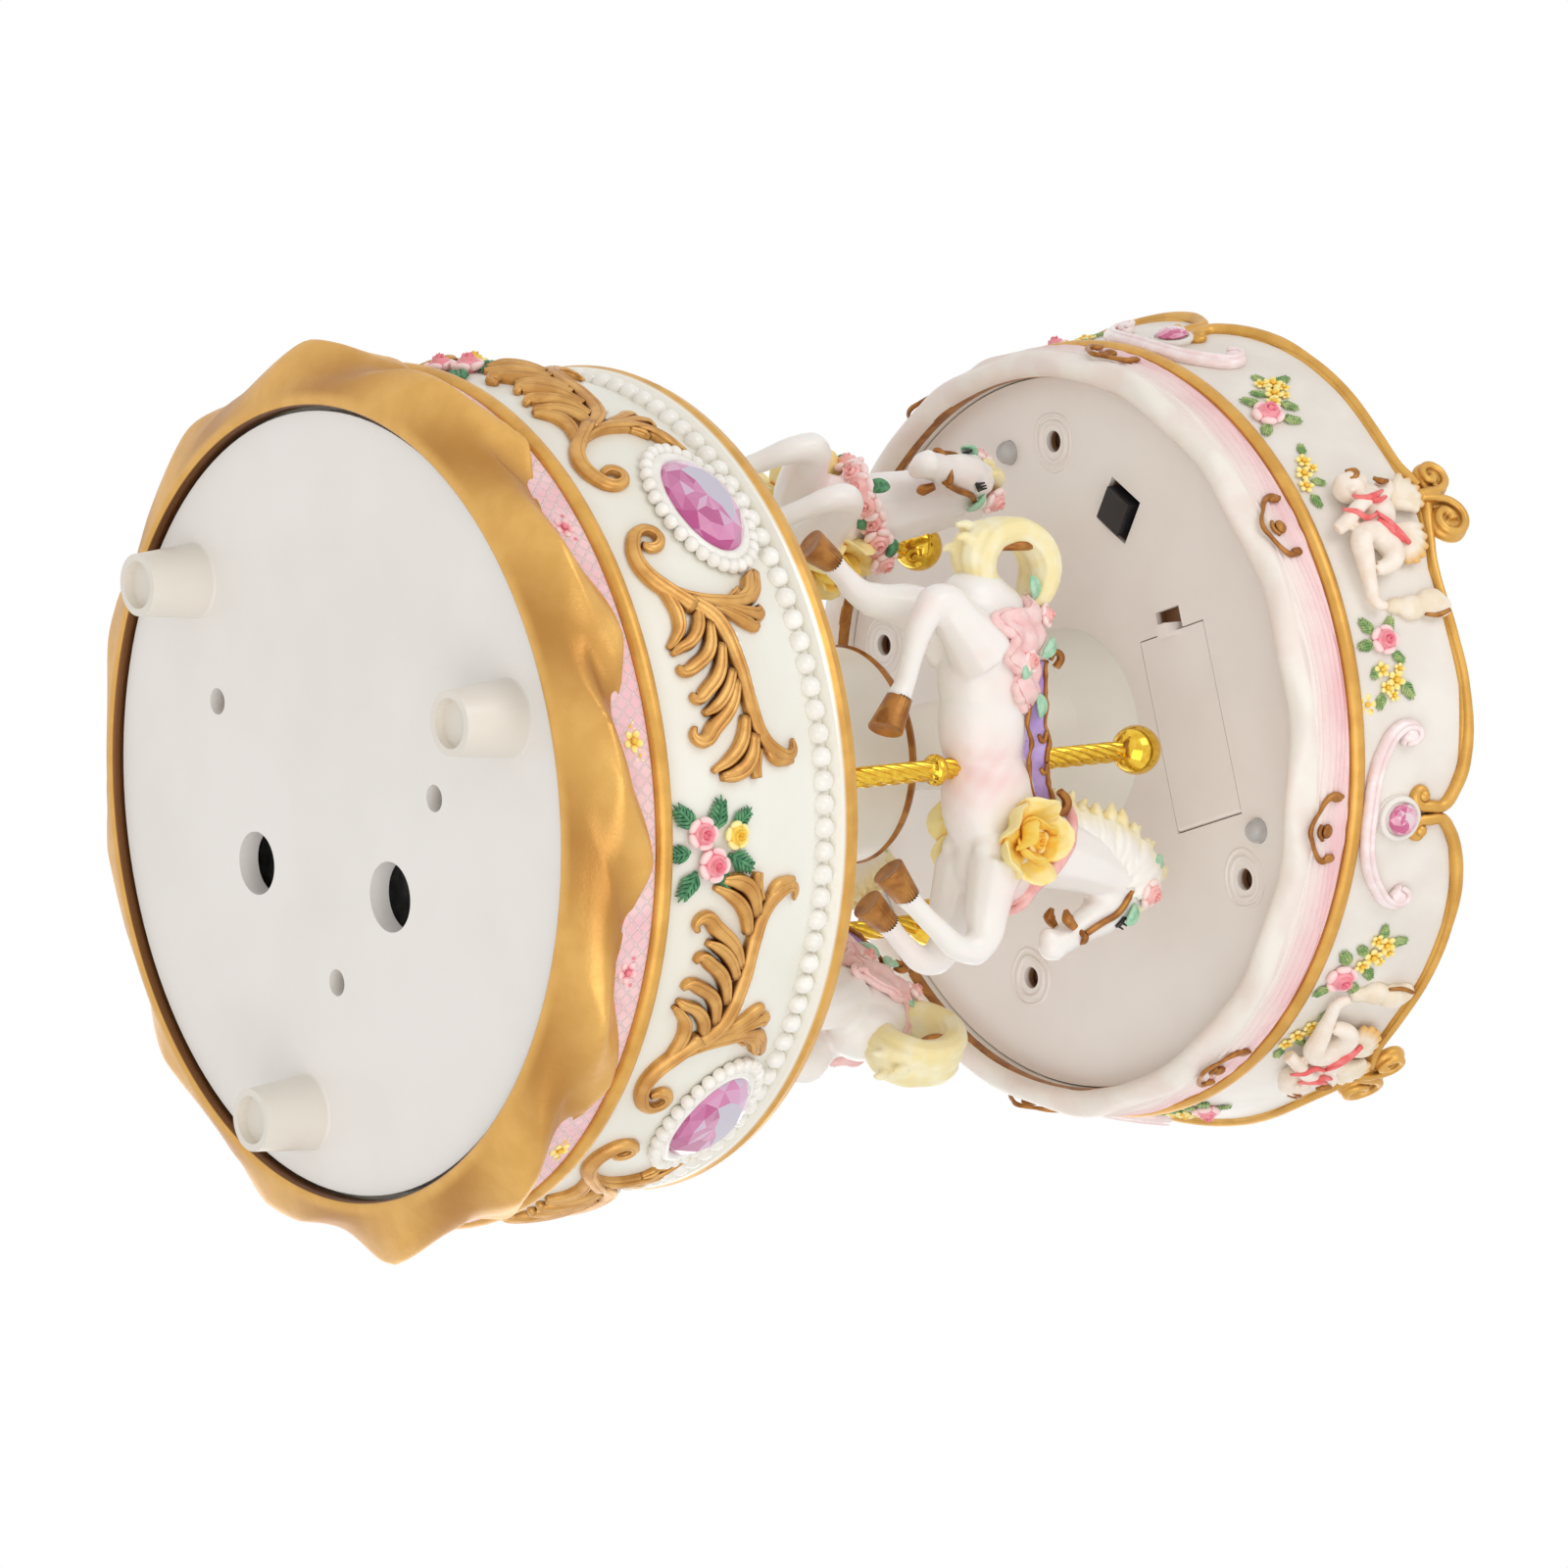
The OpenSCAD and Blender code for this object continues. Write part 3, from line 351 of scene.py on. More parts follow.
def overlay(material, attribute, tone):
    """Lays one more tone over a finish, as strongly as a number stored on the mesh says."""
    tree = material.node_tree
    paint = tree.nodes["Principled BSDF"].inputs["Base Color"]
    amount = add(tree, "ShaderNodeAttribute", attribute_name=attribute).outputs["Fac"]
    mixed = add(tree, "ShaderNodeMix", {0: amount, 6: paint.links[0].from_socket, 7: colour(tone)},
                data_type="RGBA")
    tree.links.new(mixed.outputs[2], paint)
    return material


def by_height(material, bare, full, tone):
    """Lays a tone over a finish between two heights: none at the first, all of it at the second."""
    tree = material.node_tree
    paint = tree.nodes["Principled BSDF"].inputs["Base Color"]
    place = next(node for node in tree.nodes if node.type == "TEX_COORD").outputs["Object"]
    height = add(tree, "ShaderNodeSeparateXYZ", {"Vector": place}).outputs["Z"]
    amount = add(tree, "ShaderNodeMapRange", {
        "Value": height, "From Min": bare * MM, "From Max": full * MM}).outputs["Result"]
    mixed = add(tree, "ShaderNodeMix", {0: amount, 6: paint.links[0].from_socket, 7: colour(tone)},
                data_type="RGBA")
    tree.links.new(mixed.outputs[2], paint)
    return material


# %% [markdown]
# ### Painted resin and gilt
# Cast resin is a pale, dense plastic that is brushed with acrylic paint. Its base tone drifts in
# soft patches, a darker tone is painted into the hollows as painted shade, as deep as each place
# is closed in, and a fine grain breaks the shine. Gilt paint is fine brass flake in varnish: it is
# partly metallic, and the brown in its hollows is partly an antiquing wash wiped off the high places and
# partly painted shade.

# %% Painted resin and gilt paint
def painted_resin(name, light, dark, wash, reach=1.2, patch=6, rough=(0.36, 0.5), grain=0.02,
                  metallic=0.0, shade_from=0.25, shade_to=0.75, coat=0.0, skin=0.0):
    """Two close tones in patches, painted shade in the hollows in the wash tone, and brushed grain."""
    material, tree, shader, place = start(name, metallic, Coat_Weight=coat, Coat_Roughness=0.25,
                                          Subsurface_Weight=skin, Subsurface_Scale=0.8 * MM)
    patches = speckle(tree, place, patch, 3)
    base = tones(tree, patches, [(0.35, dark), (0.65, light)])
    # painted shade: the wash tone darkens each place as far as it is closed in (ambient occlusion)
    hollow_shade = add(tree, "ShaderNodeMapRange", {
        "Value": hollows(tree, reach), "From Min": shade_from, "From Max": shade_to}).outputs["Result"]
    paint = add(tree, "ShaderNodeMix", {0: hollow_shade, 6: colour(wash), 7: base}, data_type="RGBA")
    tree.links.new(paint.outputs[2], shader.inputs["Base Color"])
    fine = speckle(tree, place, 0.35, 3, 0.6)
    sheen_range(tree, shader, fine, *rough)
    relief(tree, shader, fine, grain)
    return material


ivory_resin = painted_resin("ivory_painted_resin", "EFEDE3", "EAE7DA", "CFC4A8", reach=2.0, patch=14,
                            rough=(0.34, 0.46), grain=0.012, shade_from=0.1, shade_to=0.6)
crown_ivory = painted_resin("crown_ivory_resin", "EEE8DF", "E6DED4", "CDBFA6", reach=2.0, patch=10,
                            rough=(0.38, 0.5), grain=0.015, shade_from=0.1, shade_to=0.6)
# in the gilt finishes the brown in the hollows is partly an antiquing wash and partly painted shade
gilt_paint = painted_resin("gilt_flake_paint", "DDAA55", "CE9A48", "7A4A18", reach=1.0, patch=4,
                           rough=(0.3, 0.46), grain=0.02, metallic=0.55, shade_from=0.3, shade_to=0.8)
gilt_skirt_paint = painted_resin("gilt_skirt_paint", "E2B060", "DBA858", "6A3D16", reach=2.4, patch=3,
                                 rough=(0.28, 0.5), grain=0.035, metallic=0.6, shade_from=0.3,
                                 shade_to=0.85)
# painted shade: a tan between the folds and a dark brown on the skirt's inner wall
overlay(overlay(gilt_skirt_paint, "fold_shade", "A8702E"), "inner_wall_shade", "6F4520")
gilt_rim_paint = painted_resin("gilt_rim_paint", "DDAA55", "CE9A48", "7A4A18", reach=1.0, patch=4,
                               rough=(0.3, 0.46), grain=0.02, metallic=0.55, shade_from=0.3, shade_to=0.8)
antique_gilt = painted_resin("antique_gilt_paint", "DEAB60", "C78F48", "6E3A12", reach=1.2, patch=3,
                             rough=(0.3, 0.42), grain=0.02, metallic=0.5, shade_from=0.4, shade_to=0.9)
bronze_paint = painted_resin("bronze_trim_paint", "B47A36", "93591F", "5A3210", reach=0.7, patch=2,
                             rough=(0.3, 0.45), grain=0.02, metallic=0.45)
cream_hair = painted_resin("cream_hair_paint", "F6EDC8", "F3E2A6", "D9B65E", reach=1.2, patch=3,
                           rough=(0.4, 0.5), grain=0.02, shade_from=0.25, shade_to=0.85)
overlay(cream_hair, "fade", "F5F0E8")
coral_paint = painted_resin("coral_garland_paint", "F7C3BE", "F0ABA6", "CF7D74", reach=1.0, patch=2,
                            rough=(0.42, 0.52), shade_from=0.3, shade_to=0.85)
blush_paint = painted_resin("blush_cloth_paint", "F7D6D2", "F3C4C2", "E09E9A", reach=1.2, patch=2,
                            rough=(0.42, 0.52), shade_from=0.3, shade_to=0.85)
leaf_paint = painted_resin("leaf_green_paint", "5B9A6A", "2F6F47", "1A4A2A", reach=0.6, patch=0.8,
                           rough=(0.4, 0.5), shade_from=0.3, shade_to=0.85)
sprig_green = painted_resin("sprig_green_paint", "AFC07C", "6E9654", "44703A", reach=0.5, patch=0.9,
                            rough=(0.4, 0.5), shade_from=0.3, shade_to=0.85)
mint_paint = painted_resin("mint_leaf_paint", "B4DABC", "93C9A2", "5E9E72", reach=0.8, patch=1.0,
                           rough=(0.4, 0.5), shade_from=0.3, shade_to=0.85)
lilac_paint = painted_resin("lilac_saddle_paint", "C9B0E6", "B999DC", "8F6CB8", reach=1.2, patch=3,
                            rough=(0.38, 0.48), shade_from=0.3, shade_to=0.8)
sash_paint = painted_resin("coral_sash_paint", "F2807C", "E95F5E", "B93438", reach=0.7, patch=1.2,
                           rough=(0.38, 0.48))
tan_paint = painted_resin("tan_wing_paint", "F4E8D6", "EEDCC0", "D2A468", reach=0.8, patch=2.0,
                          rough=(0.4, 0.5), shade_from=0.3, shade_to=0.9)
overlay(tan_paint, "fade", "E9B86C")
skin_resin = painted_resin("cherub_resin", "F6EBDD", "F1E0CE", "D7A98A", reach=0.9, patch=2,
                           rough=(0.38, 0.48), shade_from=0.25, shade_to=0.8)

def petal_paint(name, heart, middle, edge, wash):
    """Petals: deep at the heart, pale at the edge, with painted shade in the wash tone between them."""
    material, tree, shader, place = start(name, Roughness=0.45, Coat_Weight=0.1)
    away = add(tree, "ShaderNodeAttribute", attribute_name="petal").outputs["Fac"]
    drift = add(tree, "ShaderNodeMath", {0: speckle(tree, place, 1.0, 2), 1: 0.5, 2: -0.25},
                operation="MULTIPLY_ADD").outputs[0]
    away = add(tree, "ShaderNodeMath", {0: away, 1: drift}, operation="ADD").outputs[0]
    base = tones(tree, away, [(0.1, heart), (0.5, middle), (0.9, edge)])
    # painted shade: the wash tone darkens the places between petals by how closed in they are
    hollow_shade = add(tree, "ShaderNodeMapRange", {
        "Value": hollows(tree, 0.6), "From Min": 0.35, "From Max": 0.9}).outputs["Result"]
    paint = add(tree, "ShaderNodeMix", {0: hollow_shade, 6: colour(wash), 7: base}, data_type="RGBA")
    tree.links.new(paint.outputs[2], shader.inputs["Base Color"])
    relief(tree, shader, speckle(tree, place, 0.3, 3), 0.015)
    return material


rose_paint = petal_paint("rose_petal_paint", "F28A98", "F8B1B6", "FCDAD8", "E26C80")
yellow_paint = petal_paint("yellow_petal_paint", "F6C842", "FBE063", "FDF0A2", "EDB53A")
shoulder_yellow = petal_paint("shoulder_rose_paint", "F6C445", "FADB6C", "FCEBA6", "E9A93E")
pale_rose_paint = petal_paint("pale_rose_petal_paint", "F5B2AC", "F8C9C3", "FAE0DB", "E79C95")
print("painted finishes are ready")
# %% [markdown]
# ### Moulded plastic, plate and stones
# The plates, the deck and the hub are moulded polystyrene, which is smooth and faintly mottled.
# The poles are plated brass. The movement is steel, brass and cast zinc with the fine lines of
# machining. The stones are pink resin over foil, and their facets carry painted light: facets that
# face up are painted pale as a painted reflection, the others darker as painted shade.

# %% Plastic, metal and stones
def moulded_plastic(name, light, dark, rough=(0.28, 0.38), patch=18, skin=0.0):
    """Injection-moulded plastic: slow mottling and a faint orange-peel surface."""
    material, tree, shader, place = start(name, IOR=1.5, Subsurface_Weight=skin,
                                          Subsurface_Scale=1.0 * MM)
    mottle = speckle(tree, place, patch, 4)
    tree.links.new(tones(tree, mottle, [(0.3, dark), (0.7, light)]), shader.inputs["Base Color"])
    peel = speckle(tree, place, 0.9, 2)
    sheen_range(tree, shader, peel, *rough)
    relief(tree, shader, peel, 0.006)
    return material


def worked_metal(name, light, dark, rough=(0.22, 0.36), grain=0.5, depth=0.006):
    """Bare or plated metal with fine tooling marks."""
    material, tree, shader, place = start(name, 1.0)
    marks = speckle(tree, place, grain, 4, 0.6)
    tree.links.new(tones(tree, marks, [(0.3, dark), (0.7, light)]), shader.inputs["Base Color"])
    sheen_range(tree, shader, marks, *rough)
    relief(tree, shader, marks, depth)
    return material


white_plastic = moulded_plastic("white_polystyrene", "F3EEE8", "EEE9E2")
by_height(white_plastic, 7.9, 7.6, "E8E1D5")
canopy_plastic = moulded_plastic("canopy_polystyrene", "F6EFE8", "F0E8E0")
plate_plastic_hole_shade = moulded_plastic("canopy_plate_polystyrene_hole_shade", "F6EFE8", "F0E8E0")
# painted shade: from 118 mm up, inside the holes and the slot, the plate is painted dark brown
by_height(plate_plastic_hole_shade, 118.0, 118.5, "86603F")
hub_plastic = moulded_plastic("hub_polystyrene", "EFEBE0", "E8E3D6", rough=(0.28, 0.4), skin=0.1)
black_plastic = moulded_plastic("black_abs", "242226", "151416", rough=(0.35, 0.45))
board_green = moulded_plastic("circuit_board_varnish", "3E7A4C", "2C6139", rough=(0.25, 0.4), patch=4)
pearl_lacquer = moulded_plastic("pearl_lacquer", "F8F5EE", "EFEAE0", rough=(0.1, 0.18), patch=2)
steel = worked_metal("spring_steel", "D0D0D2", "B4B4B8")
zinc = worked_metal("cast_zinc", "C6C7C9", "A8AAAD", rough=(0.35, 0.5), grain=1.2, depth=0.02)
brass_part = worked_metal("movement_brass", "DDB869", "C29A4A")
gold_plate = worked_metal("gold_plate", "F0C84A", "DDAC36", rough=(0.08, 0.18), grain=0.8, depth=0.003)
# painted shade: the screws deep in their holes are painted dark brown, as the shade there
screw_steel_painted_shade = worked_metal("screw_painted_shade_steel", "6E5440", "55402F", rough=(0.4, 0.5))


def painted_glint_stone(name, light, deep, table="E3C9E4", sky="D5CFE0"):
    """A faceted resin stone with foil behind it: facets that face up are tinted pale as a painted
    reflection, the others darker as painted shade.
    """
    material, tree, shader, place = start(name, Roughness=0.06, IOR=1.55, Coat_Weight=1.0,
                                          Coat_Roughness=0.03, Transmission_Weight=0.25)
    facet = add(tree, "ShaderNodeAttribute", attribute_name="facet").outputs["Fac"]
    # the facet number picks a tone: deep for painted shade, table and sky tones for painted reflections
    tree.links.new(tones(tree, facet, [(0.12, deep), (0.42, light), (0.62, table), (0.85, sky)], False),
                   shader.inputs["Base Color"])
    return material


pink_stone = painted_glint_stone("pink_foil_stone_painted_glints", "F09CCA", "C73A8C")
rose_stone = painted_glint_stone("rose_foil_stone_painted_glints", "F9A8C4", "DE5B93", "F6C6D8", "FBE3EA")


def clear_plastic(name):
    """The water-clear epoxy of a lamp, a little cloudy inside."""
    material, tree, shader, place = start(name, IOR=1.5, Transmission_Weight=0.45)
    cloud = speckle(tree, place, 1.5, 2)
    tree.links.new(tones(tree, cloud, [(0.3, "E9E6E2"), (0.7, "FBFAF7")]), shader.inputs["Base Color"])
    sheen_range(tree, shader, cloud, 0.04, 0.12)
    return material


clear_lens = clear_plastic("lamp_epoxy")


def horse_resin(name):
    """White satin resin with a faint pink wash low on the chest and the girth, and painted shade in its
    hollows.
    """
    material, tree, shader, place = start(name, IOR=1.5, Subsurface_Weight=0.12,
                                          Subsurface_Scale=1.2 * MM, Coat_Weight=0.15,
                                          Coat_Roughness=0.3)
    patches = speckle(tree, place, 9, 2)
    base = tones(tree, patches, [(0.4, "F2EEE8"), (0.62, "F4EDE8"), (0.8, "F4E2DD")])
    blush = add(tree, "ShaderNodeAttribute", attribute_name="blush").outputs["Fac"]
    base = add(tree, "ShaderNodeMix", {0: blush, 6: base, 7: colour("F3C6C2")},
               data_type="RGBA").outputs[2]
    # painted shade: a warm darker tone fills each hollow by how closed in it is
    hollow_shade = add(tree, "ShaderNodeMapRange", {
        "Value": hollows(tree, 2.0), "From Min": 0.15, "From Max": 0.7}).outputs["Result"]
    paint = add(tree, "ShaderNodeMix", {0: hollow_shade, 6: colour("E6C9BE"), 7: base}, data_type="RGBA")
    tree.links.new(paint.outputs[2], shader.inputs["Base Color"])
    fine = speckle(tree, place, 0.5, 2)
    sheen_range(tree, shader, fine, 0.26, 0.36)
    relief(tree, shader, fine, 0.008)
    return material


horse_white = horse_resin("white_horse_resin")


# %% [markdown]
# ### Two painted patterns
# The band above the skirt is pale pink, with a lattice of raised diamonds. It is drawn from the
# distance round the drum and the height: two families of slanting lines cross each other. The
# drape of the canopy is the same pink, with folds that are modelled, so it needs no pattern.

# %% Lattice band and drape paint
def lattice_paint(name, spacing, line):
    """Pale pink paint with a diamond lattice; spacing and line in millimetres."""
    material, tree, shader, place = start(name)
    axes = add(tree, "ShaderNodeSeparateXYZ", {"Vector": place}).outputs
    turn = add(tree, "ShaderNodeMath", {0: axes["Y"], 1: axes["X"]}, operation="ARCTAN2").outputs[0]
    round_mm = add(tree, "ShaderNodeMath", {0: turn, 1: (BAND_R - 0.1) * MM},
                   operation="MULTIPLY").outputs[0]
    edges = []
    for way in ("ADD", "SUBTRACT"):
        slant = add(tree, "ShaderNodeMath", {0: round_mm, 1: axes["Z"]}, operation=way).outputs[0]
        edges.append(add(tree, "ShaderNodeMath", {0: slant, 1: spacing / 2 * MM},
                         operation="PINGPONG").outputs[0])
    near = add(tree, "ShaderNodeMath", {0: edges[0], 1: edges[1]}, operation="MINIMUM").outputs[0]
    ridge = add(tree, "ShaderNodeMapRange", {
        "Value": near, "From Min": 0.0, "From Max": line * MM, "To Min": 1.0, "To Max": 0.0},
        interpolation_type="SMOOTHSTEP").outputs["Result"]
    patches = speckle(tree, place, 5, 2)
    ground = tones(tree, patches, [(0.35, "F0BDC2"), (0.65, "F3CECE")])
    paint = add(tree, "ShaderNodeMix", {0: ridge, 6: ground, 7: colour("F8E4E2")}, data_type="RGBA")
    tree.links.new(paint.outputs[2], shader.inputs["Base Color"])
    sheen_range(tree, shader, patches, 0.42, 0.52)
    relief(tree, shader, ridge, 0.12)
    return material


pink_lattice = lattice_paint("pink_lattice_paint", 1.9, 0.22)
drape_pink = painted_resin("drape_pink_paint", "F5D4D2", "F0C4C5", "E2ACAD", reach=0.8, patch=8,
                           rough=(0.4, 0.52), shade_from=0.3, shade_to=0.9)
by_height(drape_pink, 119.4, 116.2, "F3E6DE")
hem_ivory = painted_resin("hem_ivory_paint", "F3ECE1", "EFE0D6", "DBC3AF", reach=1.5, patch=6,
                          rough=(0.38, 0.5), shade_from=0.2, shade_to=0.8)
pearl_paint = painted_resin("pearly_scroll_paint", "F9EAE8", "F3DAD8", "D8B0AE", reach=0.8, patch=2,
                            rough=(0.14, 0.24), coat=0.6, shade_from=0.2, shade_to=0.7)
eye_black = moulded_plastic("eye_enamel", "1C1713", "0E0B09", rough=(0.12, 0.2))
print(len(bpy.data.materials), "materials, those of the imported model included")

# %% [markdown]
# ## Finishes for the solids that stay
# The turned and moulded solids are already exact, so they keep their shape and take a finish.
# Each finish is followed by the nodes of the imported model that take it.

# %% Dress the solids that stay
FINISHES = {
    ivory_resin: ["base_shell", "deck"],
    gilt_paint: ["lower_bead", "canopy_bead", "finial"],
    by_height(gilt_rim_paint, 44.5, 44.1, "EFEBDF"): ["upper_rim"],
    bronze_paint: ["hub_trim"],
    crown_ivory: ["canopy_shell", "roof"],
    white_plastic: ["base_plate"],
    plate_plastic_hole_shade: ["canopy_plate"],
    canopy_plastic: ["battery_door"],
    hub_plastic: ["hub", "column"],
    black_plastic: ["light_button", "switch_body"],
    board_green: ["circuit_board"],
    screw_steel_painted_shade: ["movement_screws", "canopy_screws"],
    steel: ["comb", "comb_screws", "spindle", "cells", "battery_contacts"],
    zinc: ["bedplate", "governor_bracket"],
    brass_part: ["bridge", "tune_cylinder", "spring_barrel", "governor"],
    clear_lens: ["leds"],
}
for finish, names in FINISHES.items():
    for name in names:
        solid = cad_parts[name].data
        solid.materials.clear()
        solid.materials.append(finish)
print(sum(len(names) for names in FINISHES.values()), "solids dressed")


def dress(item, finish, body, slot, *stands_for):
    """Gives a piece its finish and its body, and hides the solids it stands for."""
    item.data.materials.clear()
    item.data.materials.append(finish)
    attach(item, body)
    if stands_for:
        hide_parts(*stands_for)
    return item
# %% [markdown]
# ## The gilt skirt and the lattice band
# The skirt is a ring whose edge is folded twelve times. It could be carved from a block, but a
# rolled grid is simpler: the same section goes all the way round, and only its points move in
# and out with the angle. Slanting creases are pushed in afterwards by the same rule.

# %% The folded skirt
def skirt_fold(angle):
    """How far the edge stands out, about -1 to 1: each fold rises slowly and drops back fast."""
    t = ((angle - 24) / 30 + 0.6) % 1.0
    t = t / 1.2 if t < 0.6 else 0.5 + (t - 0.6) / 0.8
    return -math.cos(math.tau * t) + 0.18 * math.cos(math.radians(4 * angle + 40))


def skirt_top(angle):
    return 14.5 + 1.5 * math.cos(math.radians(12 * (angle + 83))) + 0.3 * math.cos(math.radians(7 * angle))


def slant(angle, z):
    """Folds lean: the same fold lies further round the higher it is."""
    return angle - 2.2 * (z - 9)


def skirt_section(angle, share):
    top = skirt_top(angle)
    at_8, at_9, at_10, at_12, at_top = [skirt_fold(slant(angle, z)) for z in (8, 9, 10.4, 12, top)]
    radius, z = along([
        (46.4, 12.0), (45.5, 9.2), (45.5, 7.3), (46.0, 6.8), (46.9, 6.95), (48.8 + 0.2 * at_8, 7.9),
        (50.3 + 0.6 * at_9, 9.0), (51.3 + 0.95 * at_10, 10.4), (50.9 + 0.8 * at_12, 12.0),
        (50.0 + 0.4 * at_top, top - 0.7), (49.5, top), (48.0, top), (46.4, 12.0)], share)
    ridge = 1 - abs(math.sin(math.radians(6 * (slant(angle, z) - 24))))
    crease = 1 - abs(math.sin(math.radians(9 * (angle - 3.4 * (z - 9)) + 40)))
    if z > 7.2 and radius > 47.2:
        radius += min(1, (radius - 47.2) / 2) * (0.95 * ridge + 0.5 * crease - 0.5)
    return radius, z


def skirt_fold_shade(x, y, z):
    """How deep a place lies between two folds, for the painted shade there."""
    angle = math.degrees(math.atan2(y, x))
    depth = abs(math.sin(math.radians(6 * (slant(angle, z) - 24)))) ** 2
    return 0.75 * depth * min(1, max(0, math.hypot(x, y) - 46.4))


# painted shade: the skirt's inner wall, inside 46.25 mm, is marked for a dark brown
skirt = mark(soft(rolled_ring("foot_skirt_folds", skirt_section, 720, 56), 30), "inner_wall_shade",
             lambda x, y, z: (46.25 - math.hypot(x, y)) * 4 if z > 6.9 else 0)
# painted shade: darker as a place lies deeper between two folds
mark(skirt, "fold_shade", skirt_fold_shade)
dress(skirt, gilt_skirt_paint, "base", "gilt", "foot_skirt")
print("skirt:", len(skirt.data.polygons), "faces")

# %% The lattice band under the bead
def band_section(angle, share):
    low = skirt_top(angle) - 1.6
    return along([(47.2, 17.2), (47.2, low), (49.2, low), (49.4, 15.5), (49.15, 17.2),
                  (47.2, 17.2)], share)


band = soft(rolled_ring("lattice_band", band_section, 240, 20), 42)
dress(band, pink_lattice, "base", "pink_wash", "pink_band")
print("band:", len(band.data.polygons), "faces")

# %% [markdown]
# ## Pearls
# The row of pearls is 112 small balls half sunk in the wall. Each is a plain ico sphere, which
# has evenly spread faces, and smooth shading does the rest.

# %% The row of pearls
PEARLS, PEARL_CIRCLE, PEARL_R = 112, 47.25, 1.25
turns = [math.tau * i / PEARLS for i in range(PEARLS)]
pearls = joined([lump((PEARL_CIRCLE * math.cos(t), PEARL_CIRCLE * math.sin(t), PEARL_Z), PEARL_R)
                 for t in turns], "pearls")
dress(soft(pearls, 180), pearl_lacquer, "base", "pearl", "pearl_row")
print("pearls:", len(pearls.data.polygons), "faces")

# %% [markdown]
# ## Faceted stones
# A cut stone is a dome with flat faces. Here a coarse UV sphere is the blank: its lower half is
# cut away, its top is levelled into a table, and every second ring is turned half a step, so
# that the quads become the triangles of a real cut. Each face keeps a tint of its own, which is
# painted light: faces that look up are tinted pale as a painted reflection, and the others darker
# as painted shade, with a random part. Blender doesn't list the cut faces in the same order every
# time, so which face gets which tint can differ from one run to the next. The shape of the stone doesn't.

# %% A cut stone
def cut_stone(name, long_r, short_r, height, sides=12, table=0.62, spread=0.16):
    """A stone lying flat: x and y are its radii, and z stands out."""
    bpy.ops.mesh.primitive_uv_sphere_add(segments=sides, ring_count=10, radius=MM)
    item = settle(bpy.context.object, name)
    rings = {0: (0, 1), 1: (table * 0.5, 1), 2: (table, 1), 3: (0.84, 0.66), 4: (0.98, 0.2), 5: (1.0, 0)}

    def cut(x, y, z):
        turn = math.atan2(y, x)
        if z < -0.05:
            return 0, 0, -0.5
        ring = round(math.degrees(math.acos(max(-1, min(1, z)))) / 18)
        rho, rise = rings[min(5, ring)]
        turn += math.pi / sides * (ring % 2)
        return long_r * rho * math.cos(turn), short_r * rho * math.sin(turn), height * rise

    weld(move_points(item, cut), 0.002)
    only(item)
    bpy.ops.object.mode_set(mode="EDIT")
    bpy.ops.mesh.select_all(action="SELECT")
    bpy.ops.mesh.quads_convert_to_tris(quad_method="BEAUTY", ngon_method="BEAUTY")
    bpy.ops.object.mode_set(mode="OBJECT")
    tint = item.data.attributes.new("facet", "FLOAT", "FACE")
    rng = random.Random(7)
    for face, value in zip(item.data.polygons, tint.data):
        # painted light: faces that look up are tinted pale as a painted reflection, the rest darker as
        # painted shade
        up = face.center.y / (short_r * MM) * 0.62 - face.center.x / (long_r * MM) * 0.35
        flat = face.normal.z > 0.98
        glint = (0.95 if up > 0.02 else 0.34 + rng.uniform(-0.2, 0.2)) if flat else 0.36 + 0.5 * up
        vary = 0.04 if flat and up > 0.02 else spread
        value.value = min(1, max(0, glint + rng.uniform(-1, 1) * vary))
    return item


stone = cut_stone("drum_stone", 7.0, 5.1, 2.0, 12)
stone_turns = [angle - 1.0 for angle in GEM_ANGLES]


def stone_wall(z):
    """A stone is stiff, so it lies on a straight wall that leans in a little."""
    return wall_radius(STONE_Z) + 0.25 + (z - STONE_Z) * -0.06


for point in stone.data.vertices:
    point.co.y += STONE_Z * MM
stones = wrapped(stone, "drum_stones", stone_wall, stone_turns)
dress(stones, pink_stone, "base", "pink_gem", "drum_gems")

mount = joined([lump((8.6 * math.cos(t), STONE_Z + 6.3 * math.sin(t), 0.75), 0.86)
                for t in [math.tau * i / 30 for i in range(30)]], "mount_pearls")
seat = rods([[(7.3 * math.cos(t), STONE_Z + 5.3 * math.sin(t), 0.5, 0.8)
              for t in [math.tau * i / 16 for i in range(16)]]], closed=True)
mounts = wrapped(joined([mount, seat], "mount"), "stone_mounts", wall_radius, stone_turns)
dress(soft(mounts, 180), pearl_lacquer, "base", "pearl", "gem_surrounds")
print("stones:", len(stones.data.polygons), "facets")
# %% [markdown]
# ## The twisted poles
# Each pole is a brass rod that was drawn with eight flutes and then twisted. A thread modifier
# would need a whole screw, so the flutes are written straight into the rolled section: the
# radius rises and falls eight times round, and the pattern turns as it climbs.

# %% Three twisted poles
def pole_section(angle, share):
    low, high = DECK_TOP - 0.4, 104.0
    z = low + (high - low) * min(1, max(0, (share - 0.01) / 0.98))
    if share < 0.005 or share > 0.995:
        return 0, z
    flute = abs(math.cos(math.radians(4 * (angle - 21 * z))))
    radius = 1.02 + 0.26 * flute
    if 73.4 < z < 75.2:
        radius = max(radius, 1.2 + 0.7 * math.sin(math.pi * (z - 73.4) / 1.8) ** 0.5)
    return radius, z


bpy.ops.mesh.primitive_grid_add(x_subdivisions=80, y_subdivisions=330, size=MM)
pole = settle(bpy.context.object, "pole")


